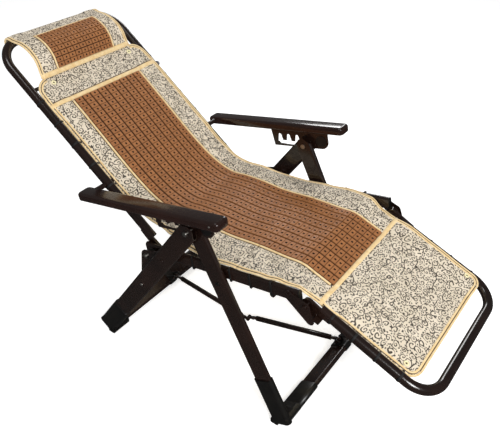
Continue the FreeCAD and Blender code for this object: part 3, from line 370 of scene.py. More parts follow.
    def stems(self, tree: Tree, cloth: Socket, bent: Source) -> Node:
        """Make the stems' mask: some of the lines between large cells.

        Args:
            tree: The material's node tree.
            cloth: The cloth map.
            bent: The swaying cloth map.

        Returns:
            The node whose first output is the mask.
        """
        cells = add_node(tree, VORONOI, {
            "Vector": bent, "Scale": 1 / self.stem, "Randomness": self.stem_scatter},
            voronoi_dimensions="2D", feature="DISTANCE_TO_EDGE")
        near = add_node(tree, MATH, (cells.outputs["Distance"], self.stem_line), operation="LESS_THAN")
        choice = add_node(tree, NOISE, {"Vector": cloth, "Scale": 1 / self.curl, "Detail": 0.0})
        kept = add_node(tree, MATH, (choice, 0.5), operation="GREATER_THAN")
        return add_node(tree, MATH, (near, kept), operation="MULTIPLY")

    def leaves(self, tree: Tree, bent: Source, reach: Socket) -> Node:
        """Make the leaves' mask: small dots clear of the curls.

        Args:
            tree: The material's node tree.
            bent: The swaying cloth map.
            reach: The distance from the nearest curl's eye.

        Returns:
            The node whose first output is the mask.
        """
        cells = add_node(tree, VORONOI, {
            "Vector": bent, "Scale": 1 / self.leaf, "Randomness": self.leaf_scatter}, voronoi_dimensions="2D")
        near = add_node(tree, MATH, (cells.outputs["Distance"], self.leaf_reach), operation="LESS_THAN")
        clear = add_node(tree, MATH, (reach, self.curl * self.leaf_clear), operation="GREATER_THAN")
        return add_node(tree, MATH, (near, clear), operation="MULTIPLY")


@dataclass(frozen=True)
class BambooTile(Finish):
    """Carbonised bamboo cut in small tiles, sanded and waxed: straight fibres, each tile its own brown, and
    painted shade down its walls and in its thread hole.
    """

    # The colour of the painted shade on the tiles' walls and in their thread holes
    dark: str = "#1d0c05"
    tint_share: float = 0.35
    fibre_share: float = 0.6

    def build(self) -> bpy.types.Material:
        """Make the material: a tint for each tile, stretched fibres, and painted shade down the tile's walls
        and in its thread hole.

        Returns:
            The new material.
        """
        material, tree, shader = self.start()
        coord = add_node(tree, "ShaderNodeTexCoord").outputs["Object"]
        place = add_node(tree, "ShaderNodeMapping", {"Vector": coord, "Scale": self.stretch})
        fibre = add_node(tree, NOISE, {"Vector": place, "Scale": 1 / self.grain, "Detail": 3.0})
        tint = add_node(tree, "ShaderNodeAttribute", attribute_name="tint").outputs["Fac"]
        streaks = add_node(tree, MATH, (fibre, self.fibre_share), operation="MULTIPLY")
        share = add_node(tree, MATH, (tint, self.tint_share, streaks), operation="MULTIPLY_ADD")
        wood = add_node(tree, MIX, {
            "Factor": share, MIX_FIRST: linear(self.colour), MIX_SECOND: linear(self.shade)},
            data_type="RGBA").outputs[MIX_RESULT]
        # Painted shade, darker down the tile's walls and down its thread hole
        hole = add_node(tree, "ShaderNodeAttribute", attribute_name="pit").outputs["Fac"]
        whole = add_node(tree, MIX, {
            "Factor": hole, MIX_FIRST: wood, MIX_SECOND: linear(self.dark)}, data_type="RGBA")
        self.dress(tree, shader, whole.outputs[MIX_RESULT], fibre)
        return material


class Surface(Enum):
    """The finishes of the object, each named for the real material."""

    # Baked enamel on steel tube: deep brown black, glossy, with a faint orange-peel skin
    ENAMEL = Finish("baked_enamel", "#20130e", "#150c09", 0.2, coat=0.4, patch=90 * MM, grain=1.6 * MM,
                    relief=0.004 * MM)
    # Injection-moulded plastic of the armrests: dark brown, with sharp, clear reflections
    GLOSSY_PLASTIC = Finish("moulded_gloss_plastic", "#261510", "#1a0e0b", 0.17, coat=0.4, patch=120 * MM,
                            grain=2.0 * MM, relief=0.004 * MM)
    # Moulded plastic of the shoes, caps and lugs: black, with a soft satin shine and a fine grain
    SATIN_PLASTIC = Finish("moulded_satin_plastic", "#12100e", "#0b0a09", 0.34, patch=40 * MM, grain=0.8 * MM,
                           relief=0.03 * MM)
    # Zinc-plated steel of rivets and bolts: bright, with fine turning marks
    ZINC = Finish("zinc_plated_steel", "#c4c1ba", "#98958e", 0.28, metallic=1.0, patch=6 * MM, grain=0.6 * MM,
                  relief=0.02 * MM)
    # Woven elastic strap: black and dull, with fine ribs
    ELASTIC = Finish("woven_elastic", "#0f0b0a", "#0a0807", 0.7, patch=8 * MM, grain=1.0 * MM,
                     relief=0.2 * MM)
    # Cotton bias binding: warm straw yellow, soft and matt
    BINDING = Finish("cotton_binding", "#ecd3a2", "#dfbd83", 0.75, sheen=0.25, patch=14 * MM, grain=0.9 * MM,
                     relief=0.1 * MM)
    # Plain cotton lining under the mat: unbleached and matt
    LINING = Finish("cotton_lining", "#cbbfa5", "#c5b99f", 0.85, sheen=0.2, patch=90 * MM, grain=1.0 * MM,
                    relief=0.1 * MM)
    # Non-woven cloth that carries the tiles, seen in their gaps: flat, and dark brown as painted shade of the
    # gaps
    BACKING = Finish("tile_backing", "#241006", "#221007", 0.85, patch=20 * MM, grain=1.0 * MM,
                     relief=0.1 * MM)
    # Stove-enamelled eyelets: cream and glossy
    EYELET = Finish("cream_eyelet", "#f4ecc4", "#e3d6a0", 0.3, coat=0.4, patch=5 * MM, grain=0.8 * MM,
                    relief=0.01 * MM)
    # Sewing thread beside the bindings: brown and dull, and dark as painted shade of the fold that its seam
    # pulls in
    THREAD = Finish("seam_thread", "#5b4229", "#42301e", 0.85, patch=8 * MM, grain=0.7 * MM, relief=0.1 * MM)
    # Moulded plastic of the toggle: mid grey, with a soft shine
    GREY_PLASTIC = Finish("grey_toggle_plastic", "#77777b", "#5f5f64", 0.35, patch=8 * MM, grain=0.8 * MM,
                          relief=0.01 * MM)
    # Printed woven cotton: cream and matt with a dark scroll print, its threads drawn coarser than real to
    # show
    PRINT = PrintedCloth("scroll_print_cotton", "#e2d5c0", "#d2c5ae", 0.85, sheen=0.05, patch=60 * MM,
                         relief=0.12 * MM)
    # Waxed carbonised bamboo: warm brown with a faint sheen, its fibres across the mat. They are drawn
    # coarser than real to show
    BAMBOO = BambooTile("carbonised_bamboo", "#aa6f3e", "#885731", 0.58, coat=0.03, grain=1.4 * MM,
                        relief=0.06 * MM, stretch=(1.0, 0.12, 1.0))

    def material(self) -> bpy.types.Material:
        """Return this finish's material, made once."""
        found = bpy.data.materials.get(self.value.name)
        return found or self.value.build()


def put_in_scene(name: str, data: bpy.types.ID) -> bpy.types.Object:
    """Make an object from its data and link it to the scene.

    Args:
        name: The object's name.
        data: Its mesh, lamp or camera.

    Returns:
        The new object, at the origin.
    """
    thing = bpy.data.objects.new(name, data)
    bpy.context.scene.collection.objects.link(thing)
    return thing


def mesh_piece(name: str, shape: Shape, surfaces: Sequence[Surface], smooth: bool = True) -> bpy.types.Object:
    """Make an object at the origin from points and faces.

    Args:
        name: The piece's name.
        shape: Its points in the row's frame, and its faces.
        surfaces: Its finishes, in slot order.
        smooth: Whether its faces are shaded smooth.

    Returns:
        The new object.
    """
    points, faces = shape
    mesh = bpy.data.meshes.new(name)
    mesh.from_pydata([tuple(point) for point in points], [], [tuple(face) for face in faces])
    mesh.validate()
    for polygon in mesh.polygons:
        polygon.use_smooth = smooth
    for surface in surfaces:
        mesh.materials.append(surface.material())
    return put_in_scene(name, mesh)


def closed_piece(name: str, shape: Shape, surfaces: Sequence[Surface]) -> bpy.types.Object:
    """Make a smooth closed piece, with its faces turned outwards.

    Args:
        name: The piece's name.
        shape: Its points in the row's frame, and its faces.
        surfaces: Its finishes, in slot order.

    Returns:
        The new object.
    """
    piece = mesh_piece(name, shape, surfaces)
    mesh = bmesh.new()
    mesh.from_mesh(piece.data)
    bmesh.ops.recalc_face_normals(mesh, faces=mesh.faces)
    mesh.to_mesh(piece.data)
    mesh.free()
    return piece


def ride(piece: bpy.types.Object, body: str) -> None:
    """Put a finished piece on its body.

    Args:
        piece: The piece.
        body: The body that carries it.
    """
    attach(piece, body)
    LOG.info("%s rides on %s", piece.name, body)


def ring_faces(rings: int, sides: int, closed: bool = False) -> list[list[int]]:
    """Join rings of points, each to the next.

    Args:
        rings: How many rings there are.
        sides: How many points each has.
        closed: Whether the last ring joins the first. Otherwise each end has a flat cap.

    Returns:
        The faces, with the caps last.
    """
    faces: list[list[int]] = []
    for index in range(rings if closed else rings - 1):
        ring = index * sides
        onward = (index + 1) % rings * sides
        for step in range(sides):
            beside = (step + 1) % sides
            faces.append([ring + step, ring + beside, onward + beside, onward + step])
    if not closed:
        faces.append(list(range(sides))[::-1])
        faces.append([(rings - 1) * sides + step for step in range(sides)])
    return faces


def sheet_faces(rows: int, columns: int) -> list[list[int]]:
    """Close a padded sheet: an upper face, a lower face after it, and the walls between them.

    Args:
        rows: How many rows of points each face has.
        columns: How many squares lie between the ends of a row.

    Returns:
        The faces.
    """
    wide = columns + 1
    under = rows * wide
    faces: list[list[int]] = []
    for row in range(rows - 1):
        for step in range(columns):
            first = row * wide + step
            faces.append([first, first + 1, first + wide + 1, first + wide])
            faces.append([under + first, under + first + wide, under + first + wide + 1, under + first + 1])
        for step in (0, columns):
            first = row * wide + step
            faces.append([first, first + wide, under + first + wide, under + first])
    for row in (0, rows - 1):
        for step in range(columns):
            first = row * wide + step
            faces.append([first, first + 1, under + first + 1, under + first])
    return faces


def tube_along(line: Sequence[Vector], ups: Sequence[Vector], wide: float, high: float, closed: bool = False,
               sides: int = 10) -> Shape:
    """Sweep an oval section along a line.

    Args:
        line: The centre line's points.
        ups: The direction of the section's height at each point.
        wide: Half the section's width.
        high: Half the section's height.
        closed: Whether the line is a ring.
        sides: How many sides the section has.

    Returns:
        Points and faces.
    """
    count = len(line)
    points: list[Vector] = []
    for index, centre in enumerate(line):
        before = line[index - 1] if index or closed else line[index]
        after = line[(index + 1) % count] if index + 1 < count or closed else line[index]
        ahead = (after - before).normalized()
        across = ahead.cross(ups[index]).normalized()
        up = across.cross(ahead).normalized()
        for step in range(sides):
            angle = math.tau * step / sides
            points.append(centre + across * (wide * math.cos(angle)) + up * (high * math.sin(angle)))
    return points, ring_faces(count, sides, closed)


def join_parts(parts: Iterable[Shape]) -> Shape:
    """Join several shapes into one.

    Args:
        parts: The shapes.

    Returns:
        Points and faces.
    """
    points: list[Vector] = []
    faces: list[list[int]] = []
    for part_points, part_faces in parts:
        start = len(points)
        points.extend(part_points)
        faces.extend([[start + corner for corner in face] for face in part_faces])
    return points, faces


@dataclass(frozen=True)
class SideFrame:
    """A member in the side view: its pivot, its direction in degrees, and which side the sitter is on."""

    pivot: Vector
    angle: float
    sitter: float = 1.0

    @property
    def ahead(self) -> Vector:
        """Return the direction along the member."""
        turn = math.radians(self.angle)
        return Vector((math.cos(turn), 0, math.sin(turn)))

    @property
    def up(self) -> Vector:
        """Return the direction square to the member, towards the sitter."""
        turn = math.radians(self.angle)
        return Vector((-math.sin(turn), 0, math.cos(turn))) * self.sitter

    def at(self, along: float, lift: float = 0.0, side: float = 0.0) -> Vector:
        """Return the point along the member, lifted towards the sitter and moved to the left."""
        return self.pivot + self.ahead * along + self.up * lift + LEFTWARD * side


class Curve:
    """A smooth line through a few points in the side view, read by its length."""

    def __init__(self, knots: Sequence[Vector], steps: int = 24) -> None:
        """Draw the line.

        Args:
            knots: The points that it passes through.
            steps: How many straight runs lie between two of them.
        """
        self.points: list[Vector] = []
        for index in range(len(knots) - 1):
            before = knots[max(index - 1, 0)]
            after = knots[min(index + 2, len(knots) - 1)]
            for step in range(steps):
                self.points.append(self.blend(before, knots[index], knots[index + 1], after, step / steps))
        self.points.append(knots[-1].copy())
        self.marks = [0.0]
        for one, other in zip(self.points, self.points[1:]):
            self.marks.append(self.marks[-1] + (other - one).length)
        self.knot_marks = [self.marks[index * steps] for index in range(len(knots))]

    @staticmethod
    def blend(before: Vector, start: Vector, end: Vector, after: Vector, share: float) -> Vector:
        """Find a point between two knots, with tangents that fit uneven spacing.

        Args:
            before: The knot before the run.
            start: The run's first knot.
            end: The run's last knot.
            after: The knot after the run.
            share: How far along the run, from 0 to 1.

        Returns:
            The point.
        """
        gap = (end - start).length
        lead = (start - before).length or gap
        trail = (after - end).length or gap
        leave = (end - before) * (gap / (lead + gap)) if before != start else end - start
        arrive = (after - start) * (gap / (gap + trail)) if after != end else end - start
        from_start = 2 * share ** 3 - 3 * share ** 2 + 1
        from_leave = share ** 3 - 2 * share ** 2 + share
        from_end = -2 * share ** 3 + 3 * share ** 2
        from_arrive = share ** 3 - share ** 2
        return start * from_start + leave * from_leave + end * from_end + arrive * from_arrive

    @property
    def length(self) -> float:
        """Return the curve's whole length."""
        return self.marks[-1]

    def at(self, mark: float) -> Vector:
        """Find the point at a length along the curve.

        Args:
            mark: The length from the curve's start, held within the curve.

        Returns:
            The point.
        """
        place = min(max(mark, 0.0), self.length)
        index = min(bisect_right(self.marks, place), len(self.marks) - 1)
        start, end = self.marks[index - 1], self.marks[index]
        share = (place - start) / max(end - start, 1e-9)
        return self.points[index - 1].lerp(self.points[index], share)

    def normal(self, mark: float, reach: float = 4 * MM) -> Vector:
        """Return the direction square to the curve, on the sitter's side, from points a reach away."""
        ahead = (self.at(mark + reach) - self.at(mark - reach)).normalized()
        return Vector((-ahead.z, 0, ahead.x))


def table_value(table: Sequence[Pair], mark: float) -> float:
    """Find a value that eases from one station to the next.

    Args:
        table: (mark, value) stations in rising order.
        mark: Where to read.

    Returns:
        The eased value.
    """
    if mark <= table[0][0]:
        return table[0][1]
    for (start, low), (end, high) in zip(table, table[1:]):
        if mark <= end:
            share = (mark - start) / (end - start)
            share = share * share * (3 - 2 * share)
            return low + (high - low) * share
    return table[-1][1]


@dataclass
class Rig:
    """The chair's pivots and members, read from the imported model. Slopes are in degrees."""

    frame: dict
    back_slope: float = 36.6
    seat_slope: float = 10.1
    foot_slope: float = 21.8
    arm_slope: float = 12.4

    def pivot(self, joint: str) -> Vector:
        """Find a joint's place in the side view.

        Args:
            joint: The joint's name.

        Returns:
            Its place, moved to the middle of the chair.
        """
        found = next(item for item in self.frame["joints"] if item["name"] == joint)
        x, _, z = found["pos_m"]
        return Vector((x, 0, z))

    @property
    def back(self) -> SideFrame:
        """Return the back's frame, upwards from the hip."""
        return SideFrame(self.pivot("back_recline"), 180 - self.back_slope, -1.0)

    @property
    def seat(self) -> SideFrame:
        """Return the seat's frame, forwards from the hip."""
        return SideFrame(self.pivot("seat_fold"), self.seat_slope)

    @property
    def foot(self) -> SideFrame:
        """Return the footrest's frame, forwards from the knee."""
        return SideFrame(self.pivot("footrest_lift"), -self.foot_slope)

    @property
    def arm(self) -> SideFrame:
        """Return the armrest's frame, forwards from its pivot on the back."""
        return SideFrame(self.pivot("armrest_left_swing"), self.arm_slope)


class TileMaker:
    """Lays tiles, domes and eyelets with a node tree: one small piece, placed and turned at every centre."""

    # Half the length, half the width and the height of each ring of the unit tile, and how much painted shade
    # darkens it: up the outer wall, over the eased edge, across the face and down the thread hole
    RINGS = ((0.5, 0.5, 0.0, 0.6), (0.5, 0.5, 0.72, 0.25), (0.455, 0.475, 1.0, 0.0),
             (0.2, 0.112, 1.0, 0.0), (0.19, 0.105, 0.98, 1.0), (0.15, 0.08, 0.45, 1.0))
    CORNERS = ((-1, -1), (1, -1), (1, 1), (-1, 1))
    SEED = 7

    def __init__(self) -> None:
        """Make the tile and the tree."""
        self.tile = self.unit_tile()
        self.tree = self.build_tree()

    def unit_tile(self) -> bpy.types.Object:
        """Make a tile one unit each way, with eased upper edges, a thread hole in its middle, and painted
        shade on its walls and in its hole.

        Returns:
            The tile.
        """
        points = [Vector((sign_x * x, sign_y * y, z)) for x, y, z, _ in self.RINGS
                  for sign_x, sign_y in self.CORNERS]
        shape = (points, ring_faces(len(self.RINGS), len(self.CORNERS)))
        tile = mesh_piece("one_tile", shape, (Surface.BAMBOO,), smooth=False)
        layer = tile.data.attributes.new("pit", "FLOAT", "POINT")
        layer.data.foreach_set("value", [ring[3] for ring in self.RINGS for _ in self.CORNERS])
        return tile

    @staticmethod
    def build_tree() -> Tree:
        """Make the node tree: it reads the centres, turns a tile to each and gives each its tint.

        Returns:
            The tree, with the centres, the piece, its size, the seed and the finish as its inputs.
        """
        tree = bpy.data.node_groups.new("lay_tiles", "GeometryNodeTree")
        for name, kind in (("Centres", "NodeSocketGeometry"), ("Piece", "NodeSocketObject"),
                           ("Size", "NodeSocketVector"), ("Seed", "NodeSocketInt"),
                           ("Finish", "NodeSocketMaterial")):
            tree.interface.new_socket(name, in_out="INPUT", socket_type=kind)
        tree.interface.new_socket("Result", in_out="OUTPUT", socket_type="NodeSocketGeometry")
        given = add_node(tree, "NodeGroupInput").outputs
        up = add_node(tree, "GeometryNodeInputNamedAttribute", {"Name": "up"}, data_type="FLOAT_VECTOR")
        along = add_node(tree, "GeometryNodeInputNamedAttribute", {"Name": "along"}, data_type="FLOAT_VECTOR")
        stand = add_node(tree, "FunctionNodeAlignRotationToVector", {"Vector": up}, axis="Z")
        turned = add_node(tree, "FunctionNodeAlignRotationToVector", {"Rotation": stand, "Vector": along},
                          axis="X", pivot_axis="Z")
        one = add_node(tree, "GeometryNodeObjectInfo", {"Object": given["Piece"]}).outputs["Geometry"]
        placed = add_node(tree, "GeometryNodeInstanceOnPoints", {
            "Points": given["Centres"], "Instance": one, "Rotation": turned, "Scale": given["Size"]})
        chance = add_node(tree, "FunctionNodeRandomValue", {"Seed": given["Seed"]}, data_type="FLOAT")
        tinted = add_node(tree, "GeometryNodeStoreNamedAttribute", {
            "Geometry": placed, "Name": "tint", "Value": chance.outputs[1]},
            data_type="FLOAT", domain="INSTANCE")
        real = add_node(tree, "GeometryNodeRealizeInstances", {"Geometry": tinted})
        dressed = add_node(tree, "GeometryNodeSetMaterial", {"Geometry": real, "Material": given["Finish"]})
        add_node(tree, "NodeGroupOutput", {"Result": dressed})
        return tree

    def lay(self, name: str, spots: Sequence[Spot], size: Vector, piece: bpy.types.Object | None = None,
            surface: Surface = Surface.BAMBOO) -> bpy.types.Object:
        """Place a small piece at every spot and make the result a plain mesh.

        Args:
            name: The new piece's name.
            spots: Centres with their upward and forward directions.
            size: The scale of the piece along its three axes.
            piece: What is placed, or None for a tile.
            surface: Its finish.

        Returns:
            The new object, at the origin.
        """
        centres = bpy.data.meshes.new(name + "_centres")
        centres.from_pydata([tuple(spot[0]) for spot in spots], [], [])
        for index, layer_name in ((1, "up"), (2, "along")):
            layer = centres.attributes.new(layer_name, "FLOAT_VECTOR", "POINT")
            layer.data.foreach_set("vector", [value for spot in spots for value in spot[index]])
        holder = put_in_scene(name + "_centres", centres)
        modifier = holder.modifiers.new("tiles", "NODES")
        modifier.node_group = self.tree
        values = {"Piece": piece or self.tile, "Size": size, "Seed": self.SEED, "Finish": surface.material()}
        for item in self.tree.interface.items_tree:
            if item.in_out == "INPUT" and item.name in values:
                modifier[item.identifier] = values[item.name]
        bpy.context.view_layer.update()
        graph = bpy.context.evaluated_depsgraph_get()
        mesh = bpy.data.meshes.new_from_object(holder.evaluated_get(graph), preserve_all_data_layers=True,
                                               depsgraph=graph)
        holder.modifiers.clear()
        bpy.data.objects.remove(holder)
        mesh.name = name
        LOG.info("%s holds %d pieces", name, len(spots))
        return put_in_scene(name, mesh)

    def clear(self) -> None:
        """Remove the single tile that was copied."""
        bpy.data.objects.remove(self.tile)


@dataclass(frozen=True)
class Run:
    """A roll, tape or seam on a sheet: its line, half its width and height, and how high it lies."""

    line: list[Pair]
    wide: float
    high: float
    lift: float = 0.0


@dataclass
class Sheet:
    """A padded cloth that follows a curve, with a bamboo panel in its middle and bound edges.

    A mark is a length along the curve, and a side is a distance across the chair, positive to the left.
    The child classes give the outline, the surface and the thickness. The map's start is where the sheet
    was cut from the printed cloth.
    """

    rig: Rig
    columns: int = 44
    cross_steps: int = 48
    map_start: float = 0.0
    seam_inset: float = 7.5 * MM
    seam_half: float = 1 * MM
    seam_lift: float = 0.4 * MM
    tape_inset: float = 11.2 * MM
    tape_half: float = 3.2 * MM
    tape_high: float = 1.6 * MM
    panel_half: float = 147 * MM
    panel_tuck: float = 3 * MM
    panel_lap: float = 2 * MM
    panel_roll_half: float = 3.4 * MM
    panel_roll_high: float = 3.6 * MM
    panel_roll_lift: float = 1 * MM
    panel_seam_gap: float = 4.6 * MM
    tile_columns: int = 9
    tile_across: float = 32 * MM
    tile_along: float = 18 * MM
    tile_high: float = 4.5 * MM
    tile_start: float = 0.5 * MM
    tile_overrun: float = 2 * MM
    gap_along: float = 1.1 * MM
    gap_across: float = 5.2 * MM
    fill: float = 0.5
    curve: Curve = field(init=False)
    panel_start: float = field(init=False)
    panel_end: float = field(init=False)

    def half(self, mark: float, hand: float, inset: float = 0.0) -> float:
        """Return half the width on the side of a hand, 1 or -1, less an inset."""
        raise NotImplementedError

    def point(self, mark: float, side: float, lift: float = 0.0) -> Vector:
        """Return a point of the upper face, lifted square to it."""
        raise NotImplementedError

    def sink(self, mark: float, side: float, edge: float) -> float:
        """Return how far the lining lies below the upper face; edge is 0 at the edge and 1 in the middle."""
        raise NotImplementedError

    def shell(self, name: str, marks: Sequence[float]) -> bpy.types.Object:
        """Make the closed cover, with its printed upper face, its lining and the tiles' backing, dark as
        painted shade of their gaps.

        Args:
            name: The cover's name.
            marks: Its rows.

        Returns:
            The cover.
        """
        points: list[Vector] = []
        places: list[Pair] = []
        for layer in (0, 1):
            for mark in marks:
                for step in range(self.columns + 1):
                    share = 2 * step / self.columns - 1
                    side = share * self.half(mark, math.copysign(1.0, share))
                    sink = self.sink(mark, side, 1 - abs(share)) if layer else 0.0
                    points.append(self.point(mark, side, -sink))
                    places.append((mark, side))
        shape = (points, sheet_faces(len(marks), self.columns))
        piece = closed_piece(name, shape, (Surface.PRINT, Surface.LINING, Surface.BACKING))
        self.map_cloth(piece.data, places)
        self.choose_finishes(piece.data, places)
        return piece

    def map_cloth(self, mesh: bpy.types.Mesh, places: Sequence[Pair]) -> None:
        """Write the cloth map in metres: across the sheet, and along it.

        Args:
            mesh: The cover's mesh.
            places: Where each of its points lies on the sheet.
        """
        layer = mesh.uv_layers.new(name="cloth")
        for loop in mesh.loops:
            mark, side = places[loop.vertex_index]
            layer.data[loop.index].uv = (side, self.map_start + mark)

    def choose_finishes(self, mesh: bpy.types.Mesh, places: Sequence[Pair]) -> None:
        """Give each face of the cover its finish, by where it lies.

        Args:
            mesh: The cover's mesh, whose lower half follows its upper half.
            places: Where each of its points lies on the sheet.
        """
        under = len(places) // 2
        for polygon in mesh.polygons:
            corners = [places[corner] for corner in polygon.vertices]
            mark = sum(place[0] for place in corners) / len(corners)
            side = sum(abs(place[1]) for place in corners) / len(corners)
            if max(polygon.vertices) >= under:
                polygon.material_index = 1
            # Under the panel the face takes the backing, dark as painted shade of the tiles' gaps
            elif side < self.panel_half - self.panel_tuck and self.panel_start < mark < self.panel_end:
                polygon.material_index = 2

    def side_line(self, marks: Iterable[float], side: float) -> list[Pair]:
        """Return the line that runs along the sheet at a side."""
        return [(mark, side) for mark in marks]

    def cross_line(self, mark: float, right: float, left: float) -> list[Pair]:
        """Return the line that runs across the sheet, between its distances to the right and the left."""
        return [(mark, -right + (left + right) * step / self.cross_steps)
                for step in range(self.cross_steps + 1)]

    def seam(self, line: list[Pair]) -> Run:
        """Return a seam along a line."""
        return Run(line, self.seam_half, self.seam_half, self.seam_lift)

    def panel_rows(self, rows: Iterable[float]) -> list[float]:
        """Return the rows that lie along the panel."""
        return [mark for mark in rows
                if self.panel_start - self.panel_lap <= mark <= self.panel_end + self.panel_lap]

    def panel_trims(self, panel: Sequence[float], hand: float) -> tuple[Run, Run]:
        """Make the trims of the panel's edge.

        Args:
            panel: The rows along the panel.
            hand: 1 on the left and -1 on the right.

        Returns:
            The roll on the edge, and the seam beside it.
        """
        edge = self.side_line(panel, hand * self.panel_half)
        beside = self.side_line(panel, hand * (self.panel_half + self.panel_seam_gap))
        roll = Run(edge, self.panel_roll_half, self.panel_roll_high, self.panel_roll_lift)
        return roll, self.seam(beside)

    def sweep(self, name: str, runs: Iterable[Run], surface: Surface) -> bpy.types.Object:
        """Sweep every run's oval section along its line on the sheet, as one piece.

        Args:
            name: The piece's name.
            runs: The rolls, tapes or seams.
            surface: Their finish.

        Returns:
            The piece.
        """
        swept = []
        for run in runs:
            centre = [self.point(mark, side, run.lift) for mark, side in run.line]
            ups = [self.curve.normal(mark) for mark, _ in run.line]
            swept.append(tube_along(centre, ups, run.wide, run.high))
        return closed_piece(name, join_parts(swept), (surface,))

    def tile_row(self, mark: float) -> list[Spot]:
        """Place one row of tiles.

        Args:
            mark: Where the row's middle lies.

        Returns:
            The tiles' centres, with their upward and forward directions.
        """
        up = self.curve.normal(mark)
        ahead = Vector((up.z, 0, -up.x))
        middle = (self.tile_columns - 1) / 2
        return [(self.point(mark, (column - middle) * self.tile_across), up, ahead)
                for column in range(self.tile_columns)]

    def bamboo(self, name: str, tiles: TileMaker, start: float = 0.0,
               end: float = math.inf) -> bpy.types.Object:
        """Lay the tiles of the whole panel, or of one length of it.

        Args:
            name: The piece's name.
            tiles: What lays them.
            start: Where the length starts.
            end: Where it ends.

        Returns:
            The tiles as one piece.
        """
        reach = self.panel_end + self.tile_overrun - self.panel_start
        count = round(reach / self.tile_along)
        pitch = reach / count
        rows = [self.panel_start + self.tile_start + (row + 0.5) * pitch for row in range(count)]
        spots = [spot for mark in rows if start <= mark < end for spot in self.tile_row(mark)]
        size = Vector((pitch - self.gap_along, self.tile_across - self.gap_across, self.tile_high))
        return tiles.lay(name, spots, size)


@dataclass(frozen=True)
class Part:
    """One length of the mat: where it starts and ends, the bodies that it spans, the places at its bend, and
    the pieces that it replaces.
    """

    name: str
    start: float
    end: float
    bodies: tuple[str, str]
    bend: tuple[Vector, Vector]
    replaces: tuple[str, ...]


